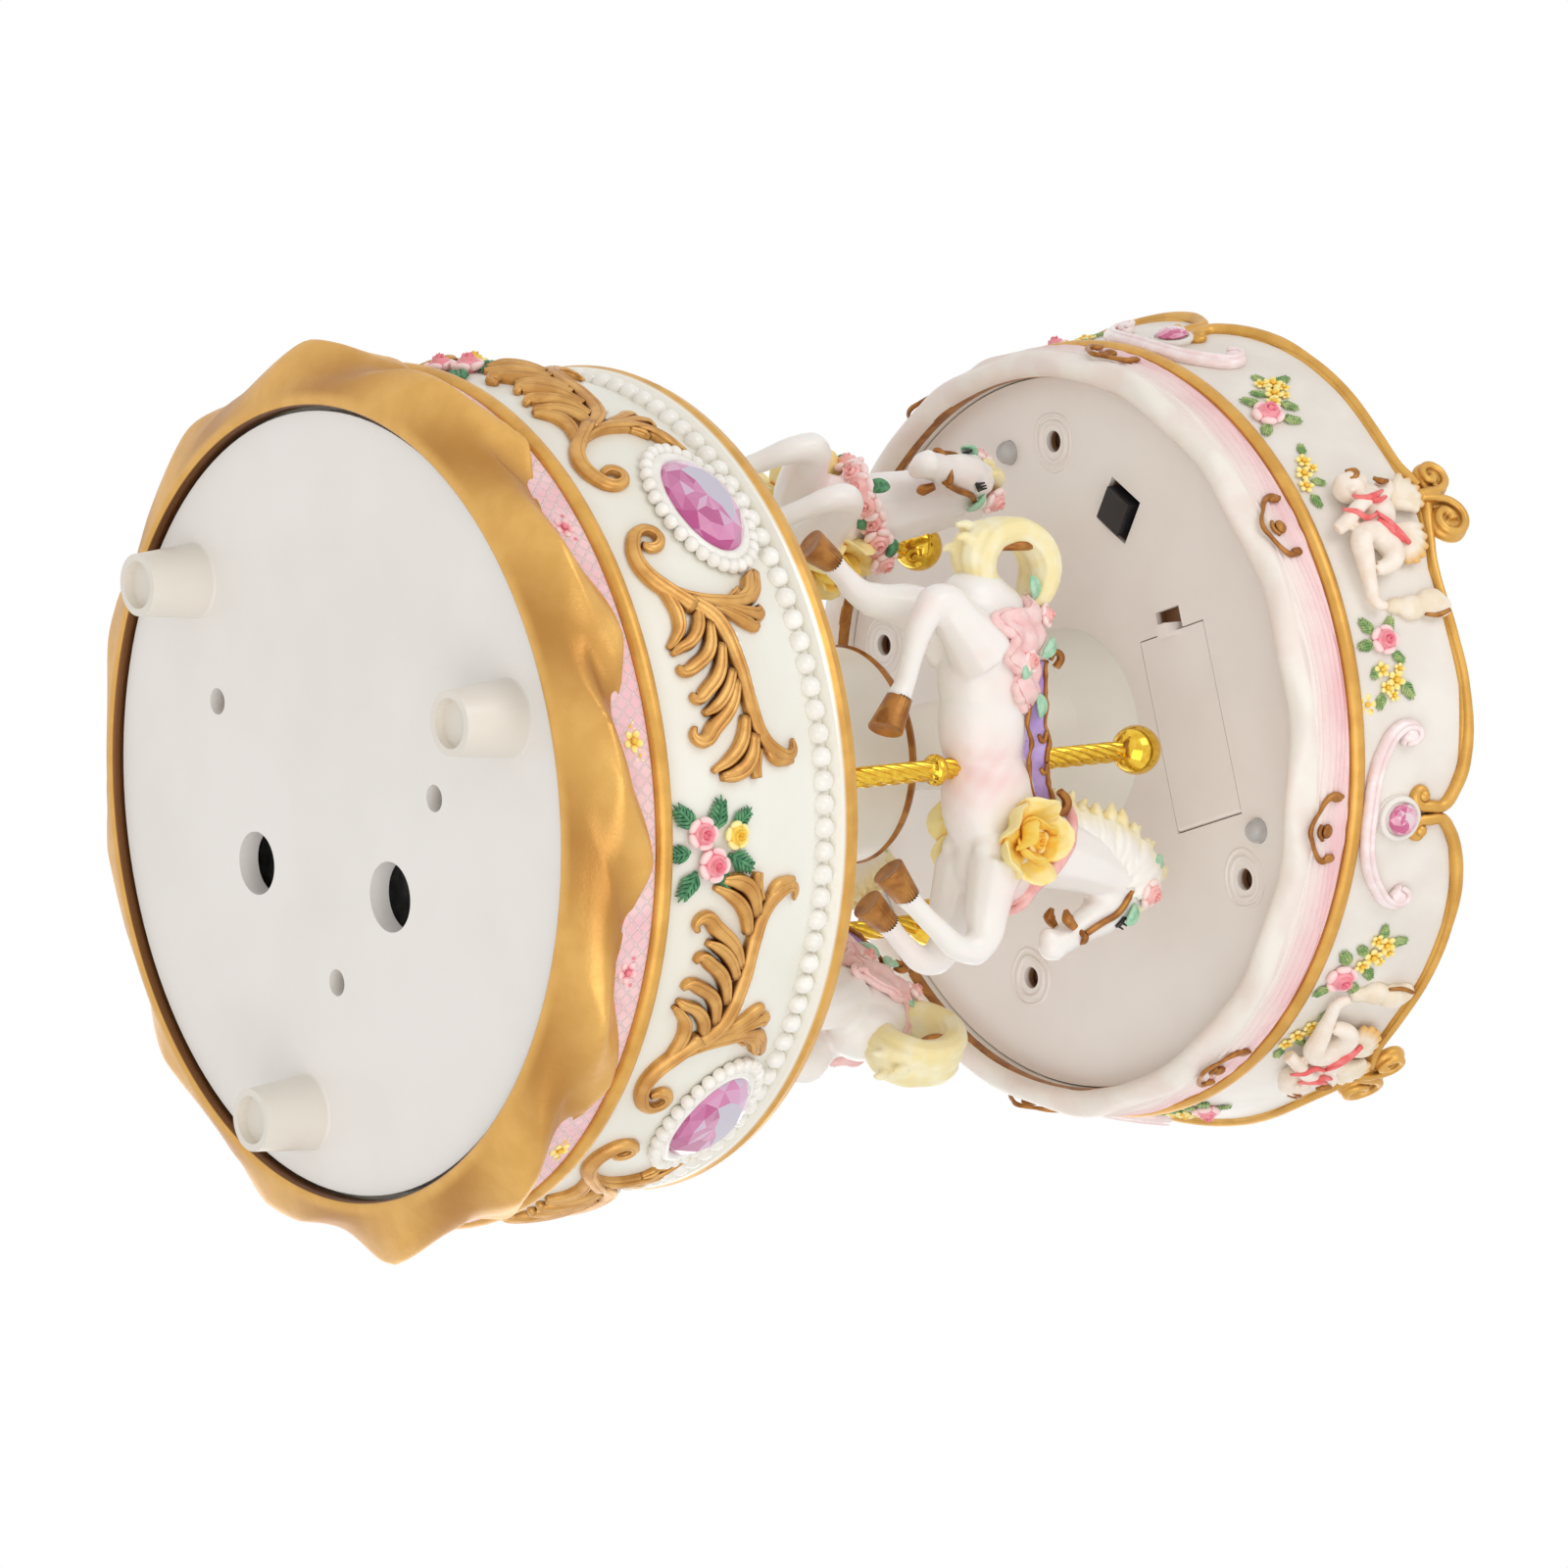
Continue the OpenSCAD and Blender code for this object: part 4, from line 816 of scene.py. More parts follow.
def roll_pole(x, y, z):
    angle = 360 * (x + 0.5)
    radius, height = pole_section(angle, y + 0.5)
    return (POLE_CIRCLE + radius * math.cos(math.radians(angle)),
            radius * math.sin(math.radians(angle)), height)


weld(move_points(pole, roll_pole), 0.003)
poles = joined([on_axis(pole, angle, "pole") for angle in POLE_ANGLES], "twisted_poles")
ball = settle(lump((POLE_CIRCLE, 0, BALL_Z), 3.0, detail=4), "ball_pattern")
balls = joined([on_axis(ball, angle, "ball") for angle in POLE_ANGLES], "pole_ends")
discard(pole, ball)
dress(soft(balls, 180), gold_plate, "carousel", "gold_plate", "pole_balls")
dress(soft(poles, 60), gold_plate, "carousel", "gold_plate", "poles")
print("poles:", len(poles.data.polygons), "faces")

# %% [markdown]
# ## The horses
# A sculptor would build the horse up in wax: big lumps for the chest, barrel and haunches,
# rods for the legs, and small lumps for the muscles. The same is done here, and a voxel remesh
# then melts them into one skin, which plain joining could not do. One horse is modelled facing
# +x with its outer side towards -y, and its copies are turned onto the three poles.

# %% One horse's body
def both(centre, size, turn=(0, 0, 0)):
    """The same lump on the outer and the inner side."""
    x, y, z = centre
    return [lump((x, y, z), size, turn), lump((x, -y, z), size, (-turn[0], turn[1], -turn[2]))]


def horse_body():
    """Body, head and joints as lumps, neck and legs as rods, melted into one skin."""
    lumps = [
        lump((11, 0, 83.2), (5.3, 4.7, 5.9), (0, -15, 0), 3), lump((4, 0, 82.1), (8, 5.0, 6.0), detail=3),
        lump((-5, 0, 81.6), (8.5, 4.8, 5.6), detail=3), lump((-15.5, 0, 82.3), (6.6, 4.9, 6.3), detail=3),
        lump((-10, 0, 81.9), (6.5, 4.95, 5.8), detail=3),
        lump((-19.4, 0, 81), (3.8, 3.9, 4.8), detail=3), lump((14.2, 0, 84), (2.4, 3.2, 3.6)),
    ]
    lumps += both((10.6, 2.9, 82.2), (3.8, 2.3, 5.0), (0, 15, 0))
    lumps += both((-15.2, 3.0, 80.6), (4.5, 2.5, 5.4), (0, -20, 0))
    lumps += both((18.3, 1.25, 99.6), (2.2, 1.35, 2.7), (0, -20, 0))
    lumps += both((19.5, 1.55, 101.3), (1.2, 0.9, 0.8), (0, 30, 0))
    lumps += both((23.1, 1.05, 91.4), (0.75, 0.6, 0.85))
    lumps += [lump((22.3, 0, 91.3), (1.9, 1.75, 1.9)), lump((21.2, 0, 90.6), (1.3, 1.3, 1.1)),
              lump((17.6, 0, 102.6), (2.4, 2.1, 2.2)), lump((20.9, -4, 76.2), (2.1, 1.9, 2.2)),
              lump((22.6, 4, 76.6), (2.1, 1.9, 2.2)), lump((-19.7, -4, 71.8), (2.3, 2.0, 2.4)),
              lump((-20.1, 4, 69.2), (2.2, 1.9, 2.4))]
    limbs = rods([
        [(8.5, 0, 86, 5.5), (10.6, 0, 91, 4.9), (12.6, 0, 96.5, 4.1), (14.9, 0, 101, 3.3),
         (17, 0, 102.8, 2.7)],
        [(17, 0, 102.6, 2.7), (19.0, 0, 99.4, 2.65), (20.5, 0, 95.6, 1.95), (22.2, 0, 91.6, 1.75)],
        [(15.2, -1.5, 103.6, 0.95), (15.2, -1.8, 105.4, 1.05), (15.8, -1.9, 107.2, 0.3)],
        [(15.2, 1.5, 103.6, 0.95), (15.2, 1.8, 105.4, 1.05), (15.8, 1.9, 107.2, 0.3)],
        [(11.5, -3.0, 80.5, 3.4), (16.4, -3.7, 78.5, 2.75), (20.2, -4, 77.2, 2.1), (20.9, -4, 74.8, 1.75),
         (17.8, -4, 70.4, 1.35), (15.0, -4, 67.4, 1.3), (13.6, -4, 66.0, 1.6)],
        [(11.5, 3.0, 80.5, 3.4), (17.4, 3.7, 78.8, 2.7), (22.2, 4, 77.6, 2.0), (22.9, 4, 75.4, 1.75),
         (20.6, 4, 72, 1.35), (18.6, 4, 70.2, 1.3), (17.6, 4, 69.2, 1.6)],
        [(-13.4, -2.8, 79.6, 4.1), (-17.4, -3.7, 75.6, 3.0), (-20.0, -4, 72.4, 2.2),
         (-17.8, -4, 70.0, 1.75),
         (-13.4, -4, 68.0, 1.35), (-10.6, -4, 66.9, 1.3), (-9.0, -4, 65.9, 1.6)],
        [(-16.0, 2.8, 79, 4.1), (-18.8, 3.8, 74.4, 3.0), (-19.8, 4, 70.4, 2.2), (-21.0, 4, 67.2, 1.75),
         (-23.4, 4, 64.6, 1.35), (-25.0, 4, 62.9, 1.5)],
    ], sides=3)
    return fused(joined(lumps + [limbs], "horse_pattern"), 0.42, 4)


horse = soft(horse_body(), 180)


def blush(x, y, z):
    """A wash round the girth and low on the chest, blotchy as brushed paint is."""
    girth = math.exp(-((x - 0.8) / 4.0) ** 2 - ((z - 79) / 7) ** 2)
    flank = math.exp(-((x + 9.5) / 2.2) ** 2 - ((z - 84) / 4) ** 2)
    chest = math.exp(-((x - 15.5) / 2.5) ** 2 - ((z - 82) / 3) ** 2)
    blot = 0.75 + 0.25 * math.sin(2.1 * x + 1.3 * z) * math.sin(1.7 * y - 0.9 * z)
    return 0.75 * blot * max(girth, 0.7 * flank, 0.8 * chest)


mark(horse, "blush", blush)
print("one horse:", len(horse.data.polygons), "faces")

# %% [markdown]
# ### Find the skin
# Harness has to lie on the body, and after the remesh nobody knows exactly where the skin is.
# So a ray is cast inwards from outside, and the harness goes where the ray meets the skin.

# %% Lay things on the horse's skin
def on_skin(centre, way, out=0.0):
    """The place on the horse's skin that is seen from a centre along a direction."""
    centre, way = Vector(centre), Vector(way).normalized()
    found, place, _, _ = horse.ray_cast((centre + 14 * way) * MM, -way)
    return (place / MM if found else centre + 6 * way) + out * way


def hoop(x, z, tilt, thick, places=28):
    """A closed band round the body through (x, z), leaning forwards at the bottom by tilt."""
    band = []
    for i in range(places):
        u = math.tau * i / places
        way = (-tilt * math.cos(u), math.sin(u), math.cos(u))
        band.append((*on_skin((x, 0, z), way, 0.3), thick * (1 + 0.15 * math.sin(7 * u + x))))
    return band


bpy.context.view_layer.update()
collar_line = hoop(11.6, 88.6, 1.4, 0.75)


def drape_rule(x, y, z):
    """Lays a flat grid of -1..1 over the hips: x along the back, y down both sides."""
    run = -13.4 - 5.6 * x + 1.6 * y * y + 0.5 * math.sin(9 * y)
    fall = math.radians(y * (84 + 22 * x + 7 * math.sin(8 * x)))
    way = (0.0, math.sin(fall), math.cos(fall))
    ripple = 0.24 * math.sin(11 * x + 4 * y) + 0.2 * math.sin(19 * y + 3 * x)
    return on_skin((run, 0, 81.8), way, 0.45 + ripple)


bpy.ops.mesh.primitive_grid_add(x_subdivisions=40, y_subdivisions=64, size=2 * MM)
hip_cloth = move_points(settle(bpy.context.object, "hip_cloth"), drape_rule)
print("collar of", len(collar_line), "places laid on the skin")

# %% [markdown]
# ### Place the copies
# A copy is turned so that +x points along the ride, pushed out to the pole circle, and turned
# to its pole. The same move places every part of a horse, so it is written once.

# %% Put a pattern on the poles
def ridden(pattern, name, which=(0, 1, 2)):
    """Copies of a horse's part on the chosen poles, as one piece."""
    copies = []
    for k in which:
        copy = twin(pattern)
        copy.matrix_world = (Matrix.Rotation(math.radians(POLE_ANGLES[k]), 4, "Z")
                             @ Matrix.Translation((POLE_CIRCLE * MM, 0, 0))
                             @ Matrix.Rotation(math.radians(90), 4, "Z"))
        copies.append(settle(copy))
    return joined(copies, name)


def fitted(pattern, name, finish, slot, *stands_for, which=(0, 1, 2), degrees=180):
    """Puts a pattern on the poles, discards it, and gives the piece its finish."""
    piece = ridden(pattern, name, which)
    discard(pattern)
    return dress(soft(piece, degrees), finish, "carousel", slot, *stands_for)


for k in range(3):
    rider = ridden(horse, f"horse_{k + 1}_body", (k,))
    dress(soft(rider, 180), horse_white, "carousel", "horse_resin", f"horse_{k + 1}")
print("three horses placed")

# %% [markdown]
# ### Mane and tail
# Carved hair is not separate hairs but locks: fat at the root, thin at the tip, and lying one
# over the other. Each lock is a tapering rod that starts on the crest of the neck and falls
# back down its side. The tail is six locks that leave the rump together and curl over.

# %% Manes and tails
CREST_LINE = [(6.6, 0, 91.6), (7.7, 0, 95.0), (8.9, 0, 98.4), (10.4, 0, 101.8), (12.6, 0, 104.8),
              (15.6, 0, 106.0)]


def mane_and_tail():
    rng = random.Random(3)
    locks = [[(x_, y_, z_, 1.5) for x_, y_, z_ in CREST_LINE]]
    for i in range(19):
        share = i / 18
        x, _, z = along(CREST_LINE, share)
        ahead, behind = along(CREST_LINE, min(1, share + 0.05)), along(CREST_LINE, max(0, share - 0.05))
        away = math.atan2(ahead[0] - behind[0], -(ahead[2] - behind[2])) + rng.uniform(-0.15, 0.25)
        side = (-1, 1)[i % 2]
        reach = 2.9 + 0.7 * math.sin(2.6 * i)
        locks.append([(x, side * 0.5, z, 1.2),
                      (x + 0.55 * reach * math.cos(away), side * 0.9, z + 0.55 * reach * math.sin(away),
                       1.05),
                      (x + reach * math.cos(away), side * 0.6, z + reach * math.sin(away), 0.3)])
        for flank in (-1, 1):
            drop = rng.uniform(-0.5, 0.5)
            locks.append([(x + 0.9 * math.cos(away), flank * 1.3, z + 0.9 * math.sin(away), 0.9),
                          (x - 1.2 * math.cos(away), flank * 2.5, z - 1.2 * math.sin(away) + drop, 0.85),
                          (x - 3.4 * math.cos(away), flank * 2.9, z - 3.4 * math.sin(away) - drop, 0.6),
                          (x - 4.8 * math.cos(away), flank * 2.8, z - 4.8 * math.sin(away) - 2 * drop,
                           0.2)])
    locks += [[(15.6, 0, 105.6, 1.3), (18.2, 0.3, 105.0, 1.2), (19.9, 0.6, 103.2, 0.4)],
              [(15.6, -0.8, 105.6, 1.2), (17.8, -1.5, 104.8, 1.0), (19.2, -1.6, 103.2, 0.35)]]
    for shift, lift in ((0, 0), (1.5, 0.6), (-1.5, 0.5), (0.8, -0.9), (-0.8, -0.8), (0, 0.9)):
        locks.append([(-20.2, shift * 0.5, 83.2, 1.5), (-23.4, shift * 0.9, 81.0 + lift * 0.5, 1.7),
                      (-26.0, shift * 1.1, 81.6 + lift, 1.75), (-27.2, shift, 84.6, 1.7),
                      (-26.8, shift * 1.1, 88.0 + lift * 0.4, 1.7),
                      (-24.0, shift * 1.2, 90.6 + lift * 0.4, 1.65),
                      (-20.6, shift * 1.1, 90.4 + lift * 0.3, 1.5), (-18.2, shift * 0.9, 88.6, 1.2),
                      (-17.4, shift * 0.6, 87.0, 0.8)])
    locks += [[(-26.4, 0.2, 82.0, 1.0), (-28.0, 0.4, 80.8, 0.9), (-28.4, 0.5, 78.9, 0.35)],
              [(-25.6, -0.8, 80.6, 0.9), (-27.0, -1.2, 79.0, 0.7), (-27.0, -1.2, 77.6, 0.3)],
              [(-24.6, 0.8, 80.4, 0.9), (-25.8, 1.2, 78.4, 0.6), (-25.4, 1.3, 77.4, 0.25)]]
    skin = fused(rods(locks, "hair_pattern"), 0.26, 2)
    return mark(skin, "fade", lambda x, y, z: (abs(y) - 1.6) / 1.6 if x > 0 else 0)


manes = fitted(mane_and_tail(), "manes_and_tails", cream_hair, "cream_hair", "manes")
print("manes and tails:", len(manes.data.polygons), "faces")

# %% [markdown]
# ### Hooves and harness
# The hooves, the bridle and the band round the tail are brushed with brown gilt. A hoof is a
# short cone: wide and cut off flat at the ground, narrow at the hair line.

# %% Hooves, bridles and tail bands
def hoof(low, high):
    """A hoof between two places, sole first: the sole is dished and the toe longer than the heel."""
    low, high = Vector(low), Vector(high)
    lean = (high - low).to_track_quat("Z", "Y").to_euler()
    bpy.ops.mesh.primitive_cone_add(vertices=24, radius1=2.3 * MM, radius2=1.65 * MM,
                                    depth=(high - low).length * MM, end_fill_type="TRIFAN")
    item = settle(bpy.context.object)
    move_points(item, lambda x, y, z: (x, 0.88 * y, z + (0.5 if x == 0 and y == 0 and z < 0 else 0)
                                       + (0.16 * x if z < 0 else 0)))
    only(item)
    bpy.ops.object.mode_set(mode="EDIT")
    bpy.ops.mesh.select_all(action="SELECT")
    bpy.ops.mesh.bevel(offset=0.22 * MM, segments=2, affect="EDGES")
    bpy.ops.object.mode_set(mode="OBJECT")
    item.location, item.rotation_euler = (low + high) / 2 * MM, lean
    return settle(item)


hoof_parts = [hoof((10.6, -4, 63.6), (13.9, -4, 66.4)), hoof((15.2, 4, 66.6), (17.9, 4, 69.6)),
              hoof((-5.6, -4, 63.9), (-9.3, -4, 66.2)), hoof((-27.2, 4, 59.9), (-24.9, 4, 63.2))]
harness = rods([
    [(21.4 + 0.75 * math.sin(u), 2.25 * math.cos(u), 94.5 + 0.2 * math.sin(u), 0.42)
     for u in [math.tau * i / 12 for i in range(12)]]], closed=True)
straps = []
for side in (-1, 1):
    straps.append([(21.0, side * 2.25, 94.6, 0.4), (20.0, side * 2.55, 96.6, 0.42),
                   (18.8, side * 2.75, 99.4, 0.42), (16.6, side * 2.65, 101.6, 0.4)])
    straps.append([(20.2, side * 1.9, 93.2, 0.5), (19.0, side * 1.7, 92.3, 0.75),
                   (18.0, side * 1.3, 92.4, 0.3)])
bands = rods([[(-25.6 + 0.1 * math.sin(u), 2.3 * math.cos(u), 86.6 + 2.6 * math.sin(u), 0.62)
               for u in [math.tau * i / 10 for i in range(10)]]], closed=True)
tack = joined(hoof_parts + [rods(straps), harness, bands], "tack_pattern")
hooves = fitted(tack, "hooves_and_bridles", bronze_paint, "hoof_gilt", "hooves", degrees=50)
print("hooves and bridles:", len(hooves.data.polygons), "faces")

# %% [markdown]
# ### Eyes
# The eyes are one brushstroke of black enamel for the lid and three short ones for the lashes.
# A rod as thin as the brushstroke, half sunk in the skin, shows from all sides as paint does.

# %% Painted eyes
def eye(side):
    """The lid and lashes on one side of the head."""
    lid = [(20.6, side * 2.15, 99.3, 0.2), (20.15, side * 2.45, 99.9, 0.34),
           (19.5, side * 2.6, 100.3, 0.2)]
    lashes = [[(x_, side * y_, z_, 0.2), (x_ + 0.5, side * (y_ + 0.1), z_ + 0.75, 0.1)]
              for x_, y_, z_ in ((20.5, 2.2, 99.6), (20.1, 2.4, 100.0), (19.6, 2.5, 100.4))]
    return [lid] + lashes


eyes = fitted(rods(eye(-1) + eye(1), "eye_pattern"), "eyes", eye_black, "black_plastic")
print("eyes:", len(eyes.data.polygons), "faces")

# %% [markdown]
# ### Saddles and cloths
# A saddle is a thin shell bent over the back. It starts as a grid, is bent by a rule, and a
# solidify modifier gives it thickness. The curled gilt edge is a rod that follows its border.

# %% Saddles with a curled edge
def seat_rule(x, y, z):
    """Bends a flat grid of -1..1 into a saddle: u runs along the back and v across it."""
    u, v = x, y
    half = 4.3 * (1 - 0.22 * u * u) * (1 + 0.05 * math.sin(9 * u))
    rise = 89.6 - 1.7 * v * v + 1.1 * abs(u) ** 3.5 + 0.12 * math.sin(14 * u) * abs(v)
    return -3.6 + 8.0 * u, half * v, rise


bpy.ops.mesh.primitive_grid_add(x_subdivisions=48, y_subdivisions=16, size=2 * MM)
seat_pattern = move_points(settle(bpy.context.object, "seat_pattern"), seat_rule)
thick = seat_pattern.modifiers.new("thick", "SOLIDIFY")
thick.thickness, thick.offset = 2.8 * MM, -1
only(seat_pattern)
bpy.ops.object.modifier_apply(modifier="thick")
weld(seat_pattern)
seats = fitted(seat_pattern, "lilac_saddles", lilac_paint, "lilac_paint", "saddles", degrees=50)

border = ([(i / 12, 1) for i in range(-12, 13)] + [(1, -j / 3) for j in range(-2, 3)]
          + [(-i / 12, -1) for i in range(-12, 13)] + [(-1, j / 3) for j in range(-2, 3)])
rng = random.Random(5)
edges = []
for drop in (0.0, -2.7):
    edges.append([(*(Vector(seat_rule(u, v, 0)) + Vector((0, 0, drop))), rng.uniform(0.18, 0.36))
                  for u, v in border])
curls = []
for side in (-1, 1):
    curls += [[(3.6, side * 3.2, 90.4, 0.5), (5.0, side * 3.3, 91.4, 0.62), (6.0, side * 3.3, 90.8, 0.62),
               (5.8, side * 3.3, 89.6, 0.55), (4.9, side * 3.3, 89.8, 0.35)],
              [(-11.0, side * 3.0, 90.6, 0.5), (-12.2, side * 3.1, 91.3, 0.5),
               (-12.8, side * 3.1, 90.4, 0.4),
               (-12.0, side * 3.1, 89.7, 0.3)],
              [(-3.6, side * 4.3, 87.8, 0.3), (-2.6, side * 4.5, 87.0, 0.35),
               (-3.4, side * 4.5, 86.4, 0.25)],
              [(0.2, side * 4.2, 87.8, 0.3), (1.2, side * 4.4, 87.2, 0.3), (0.6, side * 4.4, 86.6, 0.25)]]
trim = joined([rods(edges, closed=True), rods(curls)], "trim_pattern")
fitted(trim, "saddle_trims", bronze_paint, "hoof_gilt")
print("saddles:", len(seats.data.polygons), "faces")

# %% [markdown]
# ### Collars, cloths and flowers
# The chest collar and the hip cloth are bands of coral and blush paint. On one horse
# the collar is a garland of rosebuds with leaves between them. A bud is a ball whose top is cut
# into a spiral, which reads as wrapped petals at this size.

# %% A rosebud and its leaf
def rosebud(name, size, petals=5):
    """A bud of wrapped petals inside five open ones, lying flat: z stands out."""
    bpy.ops.mesh.primitive_uv_sphere_add(segments=40, ring_count=22, radius=MM)
    heart = settle(bpy.context.object, name)

    def wrap(x, y, z):
        rho, turn = math.hypot(x, y), math.atan2(y, x)
        spiral = (2.4 * rho - turn / math.tau) % 1.0
        rise = 0.62 * z + (0.42 * spiral * (1 - rho * rho) ** 0.5 if z > 0 else 0)
        reach = 0.66 * size * rho
        return reach * math.cos(turn), reach * math.sin(turn), size * (0.1 + rise * 0.85)

    parts = [mark(weld(move_points(heart, wrap), 0.002), "petal", lambda x, y,
                  z: 0.55 * math.hypot(x, y) / size)]
    for i in range(petals):
        turn = math.tau * (i + 0.2) / petals
        petal = lump((0.68 * size * math.cos(turn), 0.68 * size * math.sin(turn), 0.16 * size),
                     (0.36 * size, 0.5 * size, 0.26 * size), (0, -24, math.degrees(turn)), 3)
        parts.append(mark(settle(petal), "petal", lambda x, y, z: 0.2 + 0.8 * math.hypot(x, y) / size))
    return joined(parts, name)


def blossom(name, size):
    """A small open flower: five round petals and a bead in the middle."""
    parts = [mark(settle(lump((0, 0, 0.3 * size), 0.26 * size)), "petal", lambda x, y, z: 0.0)]
    for i in range(5):
        turn = math.tau * i / 5
        petal = lump((0.55 * size * math.cos(turn), 0.55 * size * math.sin(turn), 0.14 * size),
                     (0.42 * size, 0.33 * size, 0.2 * size), (0, -18, math.degrees(turn)))
        parts.append(mark(settle(petal), "petal", lambda x, y, z: 0.3 + 0.7 * math.hypot(x, y) / size))
    return joined(parts, name)


def leaf(name, length, barbs=5):
    """A feathery leaf along +x: a midrib with pointed barbs on both sides."""
    ribs = [[(0, 0, 0.1, 0.2), (length * 0.6, 0, 0.45, 0.24), (length, 0, 0.2, 0.05)]]
    for i in range(barbs):
        start_x = length * (0.08 + 0.76 * i / barbs)
        reach = length * (0.36 - 0.04 * i)
        for side in (-1, 1):
            ribs.append([(start_x, 0, 0.25, 0.2),
                         (start_x + reach * 0.5, side * reach * 0.5, 0.42, 0.2),
                         (start_x + reach * 1.05, side * reach * 0.9, 0.15, 0.04)])
    return rods(ribs, name, sides=1, steps=3)


def broad_leaf(name, length):
    """A plain pointed leaf along +x with a crease down its middle."""
    bpy.ops.mesh.primitive_uv_sphere_add(segments=20, ring_count=12, radius=MM,
                                         rotation=(0, math.pi / 2, 0))
    item = settle(bpy.context.object, name)

    def shape(x, y, z):
        taper = (1 - abs(x) ** 1.6) ** 0.35 if abs(x) < 1 else 0
        crease = -0.16 * math.exp(-(y / 0.16) ** 2) if z > 0 else 0
        return (length * 0.5 * (x + 1), length * 0.34 * y * (0.75 + 0.25 * taper),
                length * 0.14 * z + crease * length * 0.4 - 0.12 * length * x * x)

    return weld(move_points(item, shape), 0.002)


def put(pattern, centre, size=1.0, spin=0.0, face=None):
    """A copy at a place; face is the way its z should look."""
    copy = twin(pattern)
    look = Vector(face).to_track_quat("Z", "Y").to_matrix().to_4x4() if face else Matrix.Identity(4)
    copy.matrix_world = (Matrix.Translation(Vector(centre) * MM) @ look
                         @ Matrix.Rotation(math.radians(spin), 4, "Z") @ Matrix.Scale(size, 4))
    return settle(copy)


bud = rosebud("bud_pattern", 1.0)
frond = leaf("frond_pattern", 2.9)
floret = blossom("floret_pattern", 1.0)
blade = broad_leaf("blade_pattern", 2.6)
print("bud:", len(bud.data.polygons), "faces, leaf:", len(frond.data.polygons))

# %% Collars and hip cloths
collar = rods([collar_line, [(x + 0.9, y * 0.97, z - 0.3, 0.75 * r) for x, y, z, r in collar_line]],
              closed=True)
collars = ridden(collar, "coral_collars")
thick_collar = rods([[(x + 0.3, y * 1.04, z, 1.9 * r) for x, y, z, r in collar_line]], closed=True)
collars = joined([collars, ridden(thick_collar, "thick_collar", (2,))], "coral_collars")
discard(collar, thick_collar)
dress(soft(collars, 180), coral_paint, "carousel", "rose_paint", "garlands")

thick = hip_cloth.modifiers.new("thick", "SOLIDIFY")
thick.thickness, thick.offset = 0.8 * MM, -1
only(hip_cloth)
bpy.ops.object.modifier_apply(modifier="thick")
hem_line = ([(*drape_rule(-0.98, -1 + i / 10, 0), 0.55) for i in range(20)]
            + [(*drape_rule(-1 + i / 10, 1, 0), 0.6 + 0.2 * (i % 2)) for i in range(20)]
            + [(*drape_rule(0.98, 1 - i / 10, 0), 0.5) for i in range(20)]
            + [(*drape_rule(1 - i / 10, -1, 0), 0.6 + 0.2 * (i % 2)) for i in range(20)])
cloth = joined([weld(hip_cloth), rods([hem_line], closed=True)], "cloth_pattern")
cloths = fitted(cloth, "blush_cloths", blush_paint, "rose_paint", degrees=60)
print("collars and cloths:", len(collars.data.polygons) + len(cloths.data.polygons), "faces")

# %% Rosebuds and leaves on the horses
buds = []
for side in (-1, 1):
    buds += [put(bud, (16.9, side * 2.6, 104.2), 1.9, 20, (0.4, side, 0.4)),
             put(bud, (-17.2, side * 3.0, 89.0), 1.5, 80, (-0.2, side, 0.8)),
             put(bud, (-12.2, side * 5.2, 84.8), 1.4, 10, (0, side, 0.3))]
ring = [(x + 0.3, y * 1.22, z) for x, y, z, _ in collar_line[::2]]
chain = [put(bud, place, 2.0, 40 * i, (0.3, place[1] / 5, (place[2] - 88.6) / 5)) for i,
         place in enumerate(ring)]
scattered, chain = joined(buds, "scattered_buds"), joined(chain, "garland_buds")
bud_piece = joined([ridden(scattered, "all_horses"), ridden(chain, "one_horse", (2,))], "horse_rosebuds")
discard(scattered, chain)
dress(soft(bud_piece, 40), pale_rose_paint, "carousel", "rose_paint")

sprigs = []
for side in (-1, 1):
    for x_, y_, z_, spin in ((14.0, 2.6, 105.0, 100), (18.2, 2.7, 102.6, -50), (-8.2, 4.9, 86.6, 20),
                             (-9.6, 5.2, 84.6, 200), (-12.6, 4.6, 87.8, 120), (-19.0, 2.6, 88.4, 200)):
        sprigs.append(put(blade, (x_, side * y_, z_), 1.25, spin, (0.1, side, 0.45)))
garland_sprigs = [put(blade, (p[0] + 1.2, p[1] * 1.1, p[2]), 1.1, 60 * i,
                      (0.6, p[1] / 5, (p[2] - 88.6) / 5))
        for i, p in enumerate(ring) if i % 2]
discard(blade)
fitted(joined(sprigs, "sprigs"), "horse_leaves", mint_paint, "rose_paint")
fitted(joined(garland_sprigs, "garland_sprigs"), "garland_leaves", leaf_paint, "rose_paint", which=(2,))
print("rosebuds:", len(bud_piece.data.polygons), "faces")

# %% [markdown]
# ### The rose on the shoulder
# Each horse wears one open yellow rose on either shoulder. Its petals are shallow cups: a flat
# sphere whose rim is lifted, set in two leaning rings round a bud.

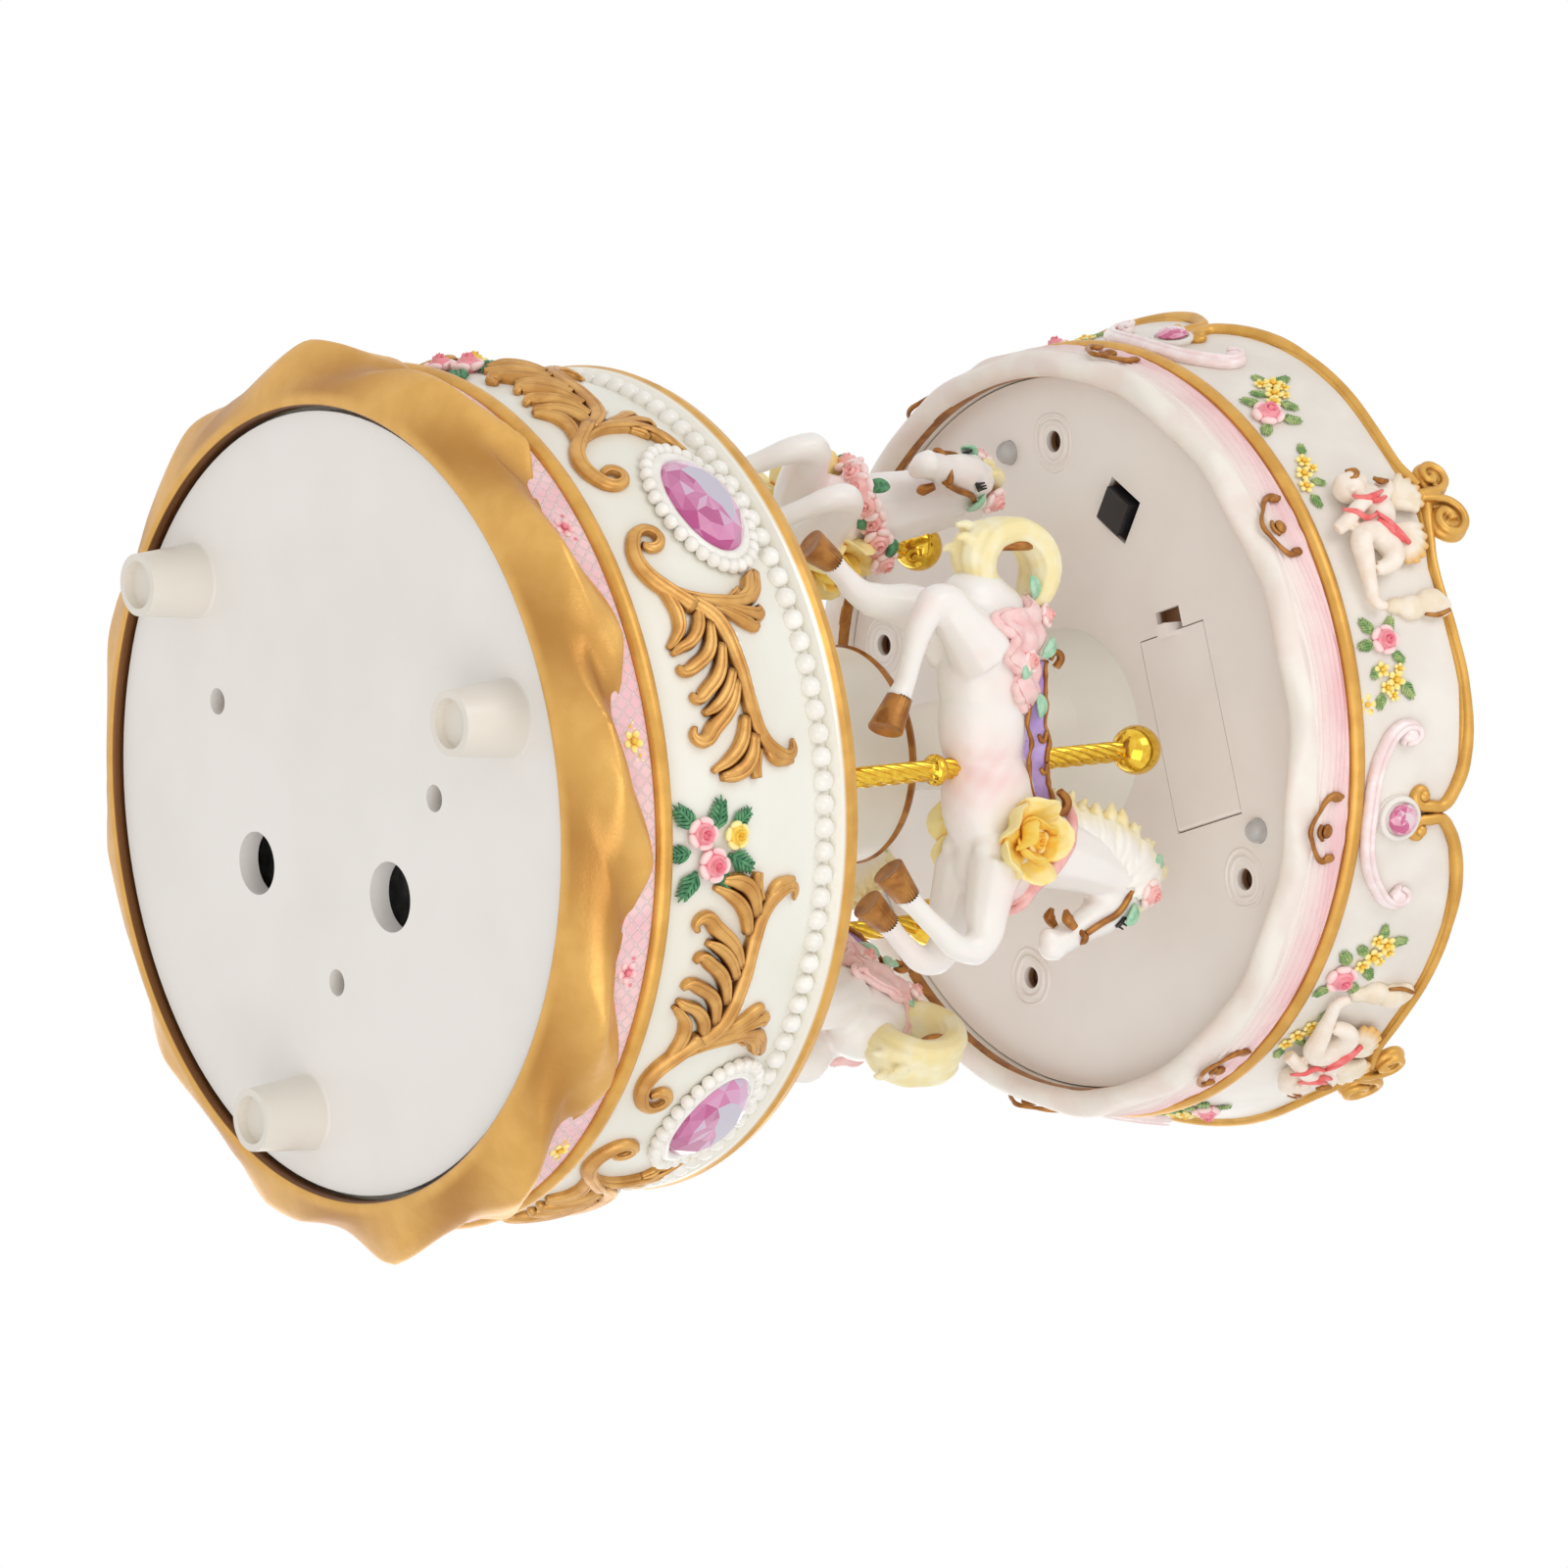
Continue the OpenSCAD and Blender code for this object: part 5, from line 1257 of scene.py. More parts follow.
# %% The yellow rose on the shoulder
def open_rose():
    """An open rose: cupped petals in two rings round a bud."""
    petals = []
    for ring_no, (count, reach, tilt, size) in enumerate(((5, 1.75, 32, 1.55), (4, 0.85, 58, 1.2))):
        for i in range(count):
            turn = 360 * (i + 0.5 * ring_no) / count
            bpy.ops.mesh.primitive_uv_sphere_add(segments=16, ring_count=10, radius=MM)
            petal = settle(bpy.context.object)
            move_points(petal, lambda x, y, z: (size * x, size * y, 0.22 * size * z + 0.45 * size * x * x
                                                + 0.12 * math.sin(5 * y) * size))
            petal.matrix_world = (Matrix.Rotation(math.radians(turn), 4, "Z")
                                  @ Matrix.Translation((reach * MM, 0, 0.5 * MM * ring_no))
                                  @ Matrix.Rotation(math.radians(-tilt), 4, "Y"))
            petals.append(settle(petal))
    outer = mark(joined(petals, "petals"), "petal", lambda x, y,
                 z: math.hypot(x, y) / 3.0 + 0.1 * math.sin(9 * x))
    return joined([outer, put(bud, (0, 0, 0.6), 0.9)], "rose_pattern")


rose = open_rose()
blooms = joined([put(rose, (8.6, -5.2, 83.8), 1.9, 15, (0.1, -1, 0.1)),
                 put(rose, (8.6, 5.2, 83.8), 1.9, 15, (0.1, 1, 0.1))], "bloom_pattern")
discard(rose, horse)
roses = fitted(blooms, "shoulder_roses", shoulder_yellow, "rose_paint", degrees=60)
print("shoulder roses:", len(roses.data.polygons), "faces")
# %% [markdown]
# ## The canopy's drape and hem
# Cloth gathered under a cornice hangs in swags. The rolled ring again gives it: its radius
# follows folds that fan out from eight gathering points, and the hem below is a wavy ivory rim.

# %% Drape and hem
def swag(angle, drop):
    """Depth of the folds between gathers; drop runs from 0 at the top to 1 at the hem."""
    local = ((angle + 75.5) % 45) / 45
    hang = 4 * local * (1 - local)
    return (0.16 * math.sin(2 * math.pi * (6.2 * drop + 1.6 * hang)) * (0.45 + 0.55 * hang)
            + 0.18 * math.sin(2 * math.pi * (1.4 * drop + 0.8 * hang))
            + 0.1 * math.sin(math.radians(31 * angle) + 5 * drop) * drop)


def drape_section(angle, share):
    low = 115.9 + 0.35 * math.sin(math.radians(8 * angle))
    radius, z = along([(45.9, 121.0), (45.7, 118), (46.0, low), (47.3, low - 0.1), (47.35, 116.8),
                       (47.5, 118.2), (47.6, 119.6), (47.3, 121.0), (45.9, 121.0)], share)
    if radius > 46.6 and low < z < 120.8:
        radius += swag(angle, (120.8 - z) / 5)
    return radius, z


drape = soft(rolled_ring("gathered_drape", drape_section, 720, 56), 60)
dress(drape, drape_pink, "carousel", "pink_wash", "drape")


def hem_section(angle, share):
    wave = math.cos(math.radians(16 * angle + 20)) + 0.5 * math.cos(math.radians(7 * angle))
    return along([(44.0, 115.8), (44.2, 114.2 + 0.3 * wave), (45.2, 113.5 + 0.4 * wave),
                  (46.5 + 0.2 * wave, 113.9 + 0.35 * wave), (47.2 + 0.25 * wave, 115.1),
                  (47.0, 116.3), (45.4, 116.5), (44.0, 115.8)], share)


# painted shade: a bronze-brown ring fills the gap between the plate's edge and the hem
def gap_shade_section(angle, share):
    return along([(44.25, 116.9), (43.95, 115.8), (44.1, 114.8), (44.5, 114.6), (44.6, 116.0),
                  (44.25, 116.9)], share)


gap_shade_ring = soft(rolled_ring("hem_gap_shade", gap_shade_section, 240, 12), 60)
dress(gap_shade_ring, bronze_paint, "carousel", "gilt")
hem = soft(rolled_ring("wavy_hem", hem_section, 480, 28), 60)
dress(hem, hem_ivory, "carousel", "ivory_resin", "hem")
print("drape and hem:", len(drape.data.polygons) + len(hem.data.polygons), "faces")

# %% [markdown]
# ## The crown
# The crown's top runs in long scrolls, and dips to a sharp notch between each pair. Its height
# is a smooth line through a few places, and one line serves both the wall and the gilt cord
# that lies along the top. The distances are millimetres round the crown, from notch to notch.

# %% The line of the crest
QUARTER = ROUND_R * math.pi / 2
CREST = [(0.0, 132.8), (0.8, 133.9), (1.8, 134.9), (4.3, 136.3), (9.3, 137.6), (14.3, 138.1),
         (21.3, 138.1),
         (29.3, 137.6), (34, 137.7), (38.5, 138.0), (43, 137.6), (47.5, 136.5), (55.5, 136.8),
         (61.5, 137.3),
         (70.5, 136.6), (73.5, 135.4), (75.4, 133.9), (QUARTER, 132.8)]


def crest_height(angle):
    run = ((angle - NOTCH_ANGLES[0]) % 90) / 90 * QUARTER
    for (a, low), (b, high) in zip(CREST, CREST[1:]):
        if a <= run <= b:
            share = (run - a) / (b - a)
            return low + (high - low) * share
    return CREST[0][1]


def crown_section(angle, share):
    top = crest_height(angle)
    rise = top - CROWN_FOOT
    outer = [(crown_radius(CROWN_FOOT + rise * k / 6), CROWN_FOOT + rise * k / 6) for k in range(7)]
    inner = [(crown_radius(z) - 2.2, z) for _, z in reversed(outer)]
    ring = outer + inner + outer[:1]
    place = share * (len(ring) - 1)
    k = min(len(ring) - 2, int(place))
    mix = place - k
    return [p * (1 - mix) + q * mix for p, q in zip(ring[k], ring[k + 1])]


crown = soft(rolled_ring("crown_wall", crown_section, 720, 27), 35)
dress(crown, crown_ivory, "carousel", "ivory_resin", "crown")
print("crown:", len(crown.data.polygons), "faces")

# %% [markdown]
# ### The gilt cord
# A round gilt cord lies along the top of the crown, dives into each notch and ends in a curl
# with a knob. It is drawn flat, as rods through places along the crest, and wrapped on the wall.
# A rolled gilt cap under it covers the top of the wall.

# %% The gilt cord and its curls
cord = [(2.4, 131.5, 0.4), (2.9, 130.7, 0.55), (2.0, 130.0, 0.65), (1.0, 130.7, 0.7), (0.8, 132.0, 0.8)]
cord += [(s, z, 0.74 if s < 12 else 0.5) for s, z in CREST[1:9]] + [(37.2, 138.6, 0.8)]
back = [(39.8, 138.5, 0.8)] + [(s, z, 0.74 if s > 62 else 0.5) for s, z in CREST[10:-1]]
back += [(QUARTER - 0.8, 132.0, 0.8), (QUARTER - 1.0, 130.7, 0.7), (QUARTER - 2.0, 130.0, 0.65),
         (QUARTER - 2.9, 130.7, 0.55), (QUARTER - 2.4, 131.5, 0.4)]
knob = [(2.1, 131.0), (QUARTER - 2.1, 131.0)]
flat_cord = joined([rods([[(s, z, 0.35, r) for s, z, r in cord], [(s, z, 0.35, r) for s, z, r in back]],
                         sides=3)]
                   + [lump((s, z, 0.4), 0.85) for s, z in knob], "cord_pattern")


def crest_wall(z):
    return crown_radius(min(z, 139))


cords = [laid_on(flat_cord, angle, crest_wall, "cord") for angle in NOTCH_ANGLES]
discard(flat_cord)


def cap_section(angle, share):
    """The gilt cap on top of the wall, under the cord."""
    top = crest_height(angle)
    edge = crown_radius(top)
    return along([(edge + 0.2, top - 0.5), (edge + 0.4, top), (edge + 0.1, top + 0.45),
                  (edge - 1.2, top + 0.6),
                  (edge - 2.4, top + 0.4), (edge - 2.6, top - 0.4), (edge - 1.0, top - 0.7),
                  (edge + 0.2, top - 0.5)], share)


cords = joined(cords + [rolled_ring("crest_cap", cap_section, 720, 16)], "crest_cord")
dress(soft(cords, 60), gilt_paint, "carousel", "gilt", "crest_edging")

# %% [markdown]
# ### The twin volutes
# At the middle of each quarter two fat scrolls stand up back to back. Each is a rod that
# swells as it rolls up, with a second, thinner rod on top and a thin disc behind, and all are
# melted together.

# %% Twin volutes
CURLS = [
    [(38.6, 137.4, 0.8), (38.5, 139.6, 0.8), (38.1, 141.5, 0.85), (36.9, 142.5, 0.85),
     (35.4, 141.9, 0.85),
     (35.2, 140.3, 0.8), (36.3, 139.5, 0.75), (37.2, 140.2, 0.8), (36.6, 140.9, 0.95)],
    [(39.2, 137.4, 0.8), (39.5, 139.6, 0.85), (40.2, 141.8, 0.95), (41.8, 142.8, 0.95),
     (43.4, 142.0, 0.95),
     (43.9, 140.2, 0.9), (42.7, 138.7, 0.85), (41.3, 139.3, 0.8), (41.4, 140.7, 0.9), (42.4, 140.7, 1.1)],
]
volute = rods([[(s, z, lift, share * r) for s, z, r in curl]
               for curl in CURLS for lift, share in ((0.3, 1.0), (1.3, 0.62))], sides=3)
volute = joined([volute, lump((36.7, 141.0, 0.3), (1.7, 1.7, 0.8)),
                 lump((42.4, 140.8, 0.3), (2.0, 2.0, 0.9))],
                "volute_pattern")
fused(volute, 0.2, 1)
volutes = wrapped(volute, "volute_pairs", crest_wall, NOTCH_ANGLES)
dress(soft(volutes, 180), gilt_paint, "carousel", "gilt", "volutes")
print("volutes:", len(volutes.data.polygons), "faces")

# %% [markdown]
# ### Stones, cups and C-scrolls under the notches
# Under each notch sits one round stone in a pearly cup, cradled by a long C-scroll.

# %% Stones, cups and scrolls
round_stone = cut_stone("round_stone", 1.95, 1.95, 0.8, 10, 0.5, 0.42)
for point in round_stone.data.vertices:
    point.co += Vector((0.5, 128.0, 1.1)) * MM
round_stones = wrapped(round_stone, "crown_stones", crown_radius, NOTCH_ANGLES)
dress(round_stones, rose_stone, "carousel", "pink_gem", "canopy_gems")

cup = rods([[(0.5 + 2.35 * math.cos(t), 127.9 + 2.35 * math.sin(t), 0.6, 0.45)
             for t in [math.tau * i / 12 for i in range(12)]]], closed=True)
cup = joined([cup, lump((0.4, 127.7, 0.1), (2.75, 2.75, 0.9), detail=3)], "cup_pattern")
cups = wrapped(cup, "stone_cups", crown_radius, NOTCH_ANGLES)
dress(soft(cups, 180), crown_ivory, "carousel", "ivory_resin", "gem_settings")

c_line = [(-8.6, 127.9, 0.4), (-8.9, 129.2, 0.6), (-10.0, 129.8, 0.65), (-10.6, 128.7, 0.62),
          (-10.0, 127.0, 0.6),
          (-8.0, 125.4, 0.6), (-5.0, 124.2, 0.62), (-1.0, 123.7, 0.65), (3.0, 123.7, 0.62),
          (6.4, 124.5, 0.6),
          (9.2, 126.2, 0.58), (11.2, 128.4, 0.6), (11.2, 129.9, 0.62), (10.2, 130.3, 0.6),
          (9.2, 129.2, 0.5)]
c_flat = joined([rods([[(s, z, 0.55, 1.2 * r) for s, z, r in c_line],
                       [(s * 0.97, z + 0.3, 1.2, r * 0.6) for s, z, r in c_line]], sides=3),
                 lump((-9.3, 128.9, 0.7), (1.2, 1.2, 0.9)), lump((10.4, 129.5, 0.7), (1.2, 1.2, 0.9))],
                "c_pattern")
c_scrolls = wrapped(c_flat, "pearly_c_scrolls", crown_radius, NOTCH_ANGLES)
dress(soft(c_scrolls, 180), pearl_paint, "carousel", "pearl", "c_scrolls")
print("crown stones, cups and scrolls:", len(round_stones.data.polygons), len(cups.data.polygons),
      len(c_scrolls.data.polygons), "faces")

# %% [markdown]
# ### Bronze strokes on the drape
# Eight times round the drape a curved stroke with a bead in its middle is modelled and brushed
# with bronze. It is flat, so it is drawn once and wrapped on the drape at each place.

# %% The small ornaments on the drape
drop_lines = [[(-2.6, 119.6, 0.35), (-2.9, 118.3, 0.55), (-2.3, 117.0, 0.45), (-0.9, 116.0, 0.3),
               (0.2, 115.2, 0.35),
               (1.4, 114.9, 0.42), (2.7, 115.4, 0.35), (4.2, 116.2, 0.35), (5.3, 117.4, 0.5),
               (4.7, 118.9, 0.4)],
              [(0.6, 116.6, 0.3), (1.6, 116.3, 0.35), (2.6, 117.0, 0.3)]]
drop_flat = joined([rods([[(s, z, 0.3, 0.8 * r) for s, z, r in line] for line in drop_lines], sides=3),
                    lump((1.5, 117.5, 0.3), (0.95, 0.8, 0.5)), lump((-2.6, 118.7, 0.3), (0.65, 1.0, 0.4)),
                    lump((5.0, 118.4, 0.3), (0.6, 0.9, 0.4))], "drop_pattern")
drops = wrapped(drop_flat, "drape_drops", lambda z: DRAPE_R, [NOTCH_ANGLES[0] + 45 * k for k in range(8)])
dress(soft(drops, 180), bronze_paint, "carousel", "gilt", "drape_ornaments")

# %% [markdown]
# ### Glue round the screw holes
# The canopy's plate is held by four screws. Two thin, uneven beads of glue ring each hole, in
# nearly the plate's own colour.

# %% Beads of glue round the screw holes
SCREWS = [(-36, 0), (17.9, -30.9), (30.7, 10.8), (-11.4, 36.3)]
glue = []
for px, py in SCREWS:
    for reach, thick in ((2.5, 0.34), (3.5, 0.22)):
        glue.append([(px + reach * (1 + 0.05 * math.sin(3 * t + px)) * math.cos(t),
                      py + reach * (1 + 0.05 * math.cos(2 * t + py)) * math.sin(t), PLATE_Z, thick)
                     for t in [math.tau * i / 16 for i in range(16)]])
beads = rods(glue, "screw_glue", closed=True)
dress(soft(beads, 180), canopy_plastic, "carousel", "white_plastic")
# %% [markdown]
# ## Gilt scrollwork on the drum
# Acanthus scrollwork is drawn as one flowing stem with fingers that peel away from it. The
# lines below are that drawing, laid flat: distance round the drum, height, and width. Each
# line becomes a fat rod with a thin lip on it, so that it reads as a fluted leaf, and the drawing
# is then wrapped onto the swelling wall, once as drawn and once mirrored.

# %% The acanthus scroll
STEMS = [
    [(5.0, 23.9, 0.35), (5.6, 25.0, 0.55), (5.2, 26.1, 0.62), (4.1, 26.4, 0.6), (3.2, 25.5, 0.6),
     (3.3, 24.1, 0.66),
     (4.5, 23.0, 0.72), (6.3, 22.4, 0.74), (8.6, 22.8, 0.8), (11, 24.6, 0.85), (13.4, 27.2, 0.9)],
    [(7.6, 22.7, 0.4), (11.3, 24.3, 0.6), (15.2, 24.7, 0.7), (17.0, 23.4, 0.5), (17.6, 22.6, 0.3)],
    [(11.0, 24.8, 0.6), (12.4, 27.5, 0.75), (13.0, 31.0, 0.8), (12.9, 34.4, 0.8), (11.6, 37.0, 0.75),
     (9.1, 38.4, 0.55)],
    [(12.8, 33.6, 0.6), (12.0, 35.6, 0.9), (10.4, 36.6, 0.85), (9.0, 38.0, 0.4)],
    [(12.7, 32.6, 0.5), (11.8, 34.2, 0.6), (11.2, 34.6, 0.3)],
    [(12.9, 28.2, 0.5), (13.6, 31.8, 0.6), (14.4, 34.8, 0.75), (14.3, 36.6, 0.75), (13.5, 36.9, 0.45)],
    [(13.4, 29.6, 0.5), (14.6, 32.4, 0.6), (15.6, 34.2, 0.7), (15.9, 35.4, 0.55), (15.0, 35.8, 0.3)],
    [(12.6, 26.8, 0.85), (15.0, 29.5, 0.95), (19.8, 30.9, 0.9), (25.0, 31.5, 0.85), (28.4, 32.5, 0.85),
     (30.2, 34.6, 0.8), (30.7, 36.6, 0.7), (30.0, 37.5, 0.5), (28.8, 37.5, 0.2)],
    [(29.2, 33.2, 0.6), (30.9, 34.2, 0.65), (31.2, 36.2, 0.6), (31.4, 37.2, 0.25)],
    [(13.6, 27.6, 0.6), (15.6, 26.9, 0.75), (17.2, 25.4, 0.75), (17.9, 23.6, 0.6), (18.4, 22.9, 0.3)],
    [(15.2, 28.6, 0.6), (18.4, 27.4, 0.8), (19.9, 25.3, 0.8), (20.4, 23.7, 0.65), (19.8, 23.1, 0.3)],
    [(17.8, 29.4, 0.6), (21.0, 28.0, 0.8), (22.8, 26.0, 0.8), (23.6, 24.6, 0.65), (23.0, 24.0, 0.3)],
    [(20.8, 30.0, 0.6), (23.2, 28.4, 0.75), (24.7, 26.6, 0.7), (25.3, 25.2, 0.4)],
    [(22.0, 30.3, 0.6), (24.8, 28.6, 0.85), (27.0, 26.0, 0.9), (28.2, 24.6, 0.8), (27.6, 23.5, 0.5),
     (26.6, 23.8, 0.3)],
    [(26.0, 30.6, 0.6), (28.6, 29.6, 0.75), (30.4, 27.8, 0.7), (31.6, 25.4, 0.35)],
    [(28.0, 31.4, 0.7), (30.8, 30.2, 0.95), (32.0, 28.4, 0.95), (32.3, 26.4, 0.5)],
    [(29.6, 31.8, 0.6), (31.2, 31.0, 0.75), (32.8, 31.2, 0.55)],
]


def fluted(line, lift=0.35):
    """A fat rod with a thin raised lip along one side, so that a groove runs beside the lip."""
    body, lip = [], []
    for i, (s, z, width) in enumerate(line):
        before, after = line[max(0, i - 1)], line[min(len(line) - 1, i + 1)]
        run, climb = after[0] - before[0], after[1] - before[1]
        length = math.hypot(run, climb) or 1
        body.append((s, z, lift, width * 1.12))
        lip.append((s - climb / length * width * 0.55, z + run / length * width * 0.55,
                    lift + 0.75 * width, width * 0.4))
    return [body, lip]


flat_scroll = rods([row for line in STEMS for row in fluted(line)], "scroll_pattern")
DEGREES = 57.3  # in a radian, near enough
as_drawn = [angle - 0.9 / ROUND_R * DEGREES for angle in GEM_ANGLES]
as_mirrored = [angle - 1.2 / ROUND_R * DEGREES for angle in GEM_ANGLES]
scrolls = wrapped(flat_scroll, "acanthus_scrolls", wall_radius, as_drawn, as_mirrored)
dress(soft(scrolls, 180), antique_gilt, "base", "gilt", "drum_scrolls")
seeds = joined([lump((16.8 + 1.15 * i, 31.9 + 0.09 * i, 0.35), 0.48) for i in range(7)], "seed_pattern")
seed_rows = wrapped(seeds, "seed_pearls", wall_radius, as_drawn, as_mirrored)
dress(soft(seed_rows, 180), pearl_lacquer, "base", "pearl")
print("scrolls:", len(scrolls.data.polygons), "faces")

# %% [markdown]
# ## Flowers
# The same bud and leaf serve all the posies. Each posy is a short list of places, so a drum
# posy, two kinds of crown posy and the small flowers on the lattice band are quick to lay out.

# %% Posies
def posy(name, items, pattern, angles, radius, finish, body, *stands_for):
    """Copies of a pattern at (s, z, out, size, spin), wrapped at each angle."""
    flat = joined([put(pattern, (s, z, out), size, spin) for s, z, out, size, spin in items],
                  name + "_pattern")
    return dress(soft(wrapped(flat, name, radius, angles), 45), finish, body, "rose_paint", *stands_for)


posy("drum_pink_roses", [(-1.6, 23.5, 0.4, 1.85, 0), (1.9, 24.9, 0.5, 1.95, 70)], bud, ROSE_ANGLES,
     wall_radius,
     rose_paint, "base", "drum_roses")
posy("drum_yellow_roses", [(-1.1, 28.0, 0.4, 1.6, 30)], bud, ROSE_ANGLES, wall_radius, yellow_paint,
     "base")
posy("drum_leaves", [(-1.8, 25.4, 0.1, 1.35, 168), (-2.2, 22.6, 0.1, 1.3, 222),
                     (0.4, 22.2, 0.1, 1.2, 275),
                     (2.6, 23.0, 0.1, 1.35, 328), (1.0, 27.2, 0.1, 1.4, 62), (-1.8, 27.6, 0.1, 1.2, 128),
                     (2.4, 26.0, 0.1, 1.1, 20)],
     frond, ROSE_ANGLES, wall_radius, leaf_paint, "base")

posy("crown_pink_roses", [(-20.9, 127.2, 0.2, 1.8, 0), (22.2, 126.0, 0.2, 2.0, 30)], bud, NOTCH_ANGLES,
     crown_radius, rose_paint, "carousel", "canopy_roses")
posy("crown_yellow_flowers", [(-16.0, 127.9, 0.2, 1.3, 0), (-17.4, 126.2, 0.2, 1.1, 40),
                              (-15.2, 126.6, 0.2, 1.0, 80),
                              (-17.3, 128.6, 0.2, 0.8, 15), (-14.2, 127.4, 0.2, 0.8, 50),
                              (17.1, 130.4, 0.2, 1.3, 0), (18.9, 129.2, 0.2, 1.35, 50),
                              (20.3, 128.2, 0.2, 1.1, 90),
                              (16.6, 129.0, 0.2, 1.0, 20), (18.2, 131.2, 0.2, 0.9, 70),
                              (19.6, 130.4, 0.2, 0.8, 30),
                              (30.6, 126.0, 0.2, 1.1, 20), (32.4, 125.0, 0.2, 1.2, 60),
                              (34.2, 124.4, 0.2, 1.1, 10),
                              (31.8, 126.6, 0.2, 0.8, 40)],
     floret, NOTCH_ANGLES, crown_radius, yellow_paint, "carousel")
posy("crown_leaves", [(-21.6, 127.8, 0, 0.86, 150), (-21.8, 126.0, 0, 0.90, 215),
                      (-20.6, 125.9, 0, 0.86, 275),
                      (-19.4, 128.0, 0, 0.78, 50), (-15.8, 128.8, 0, 0.94, 30),
                      (-18.0, 126.2, 0, 0.78, 320),
                      (-14.6, 126.0, 0, 0.78, 340), (16.9, 131.0, 0, 0.86, 100),
                      (16.4, 129.8, 0, 0.78, 190),
                      (18.8, 128.4, 0, 0.78, 230), (20.6, 129.0, 0, 0.86, 40),
                      (20.2, 126.4, 0, 0.94, 220),
                      (23.2, 127.4, 0, 0.94, 60), (23.6, 125.2, 0, 0.86, 320),
                      (29.6, 126.6, 0, 0.70, 160),
                      (33.4, 125.6, 0, 0.70, 60), (35.4, 124.6, 0, 0.78, 10)],
     frond, NOTCH_ANGLES, crown_radius, sprig_green, "carousel")
posy("crown_spots", [(-13.4, 123.9, -0.4, 1.5, 20), (-12.6, 124.4, -0.45, 1.1, 70)], floret, NOTCH_ANGLES,
     crown_radius, yellow_paint, "carousel")


pinks = [ROSE_ANGLES[0] + 60 * k - 44.5 for k in range(6)]
yellows = [angle + 30 for angle in pinks]
posy("band_pink_flowers", [(0, 14.6, 0.2, 1.4, 0), (1.6, 15.4, 0.1, 0.9, 30), (-1.6, 15.2, 0.1, 0.9, 60)],
     floret, pinks,
     lambda z: BAND_R, rose_paint, "base")
posy("band_orange_flowers", [(0, 15.0, 0.2, 1.4, 0), (1.6, 15.7, 0.1, 0.9, 30),
                             (-1.6, 14.9, 0.1, 0.9, 60)], floret, yellows,
     lambda z: BAND_R, yellow_paint, "base")
discard(bud, frond, floret)
print("posies placed")

# %% [markdown]
# ## The cherubs
# Each quarter has one small cherub reclining below the volutes, in low relief. It is built up
# like the horses: lumps and rods, melted together. The face is only a round calm one with a
# small nose, which is all that a 4 mm head can show.

# %% A reclining cherub
def cherub_body():
    """Head, chest and hips as lumps, and two legs and two arms as rods."""
    lumps = [lump((36.5, 128.2, 2.0), (1.95, 1.9, 1.8), detail=3),
             lump((35.5, 128.6, 2.4), (1.0, 1.2, 1.1)),
             lump((36.2, 129.6, 2.3), (1.1, 1.0, 1.1)), lump((35.7, 127.4, 2.4), (0.9, 0.9, 1.0)),
             lump((37.5, 127.4, 3.4), (0.45, 0.45, 0.4)), lump((38.0, 130.8, 1.4), (1.8, 1.6, 1.5)),
             lump((40.2, 131.0, 1.4), (2.5, 2.0, 1.6), (0, 0, -20), 3),
             lump((42.6, 129.8, 1.5), (2.1, 2.1, 1.8))]
    limbs = rods([
        [(42.4, 129.4, 1.8, 1.5), (43.2, 126.6, 2.5, 1.35), (45.8, 126.2, 2.2, 1.1),
         (48.8, 126.2, 1.7, 0.8),
         (51.0, 126.4, 1.5, 0.7), (51.6, 127.6, 1.5, 0.6)],
        [(43.4, 130.2, 1.6, 1.5), (46.0, 130.2, 2.0, 1.3), (47.0, 128.6, 1.8, 1.0),
         (46.8, 127.6, 1.6, 0.8)],
        [(38.2, 130.4, 2.2, 1.0), (39.4, 127.8, 2.9, 0.95), (41.0, 125.4, 2.2, 0.95),
         (41.4, 124.4, 1.6, 0.9)],
        [(38.4, 131.8, 1.9, 0.95), (37.4, 133.2, 2.0, 0.8), (36.2, 132.4, 1.9, 0.7)],
    ], sides=3)
    return fused(joined(lumps + [limbs], "cherub_pattern"), 0.2, 3)


def on_crown(flat, name, finish, slot, *stands_for):
    """Four copies on the crown, of which neighbours mirror each other about a notch."""
    drawn, turned = NOTCH_ANGLES[3], NOTCH_ANGLES[1]
    piece = wrapped(flat, name, crown_radius, [drawn, drawn + 180], [turned, turned + 180])
    return dress(soft(piece, 180), finish, "carousel", slot, *stands_for)


figures = on_crown(cherub_body(), "cherub_figures", skin_resin, "ivory_resin", "cherubs")

# %% Wings, ribbons and clouds
feathers = []
for root, tips in (((38.8, 133.4), [(35.6, 136.4), (36.5, 137.4), (37.7, 138.0), (38.9, 138.1),
                                    (40.0, 137.6), (40.6, 136.6)]),
                   ((42.6, 132.2), [(42.6, 136.2), (44.0, 136.2), (45.3, 135.8), (46.3, 135.0),
                                    (46.9, 133.9), (46.9, 132.7)])):
    for tip in tips:
        middle = [0.45 * a + 0.55 * b for a, b in zip(root, tip)]
        feathers.append([(*root, 0.9, 1.0), (*middle, 1.4, 0.75), (*tip, 1.1, 0.4)])
wing = mark(fused(rods(feathers, "wing_pattern", sides=3), 0.2, 1), "fade", lambda x, y, z: max(
    math.hypot(x - 38.8, y - 133.4) - 3.4 if x < 41.2 else 0,
    math.hypot(x - 42.6, y - 132.2) - 3.2 if x > 41.2 else 0))
on_crown(wing, "cherub_wings", tan_paint, "ivory_resin")

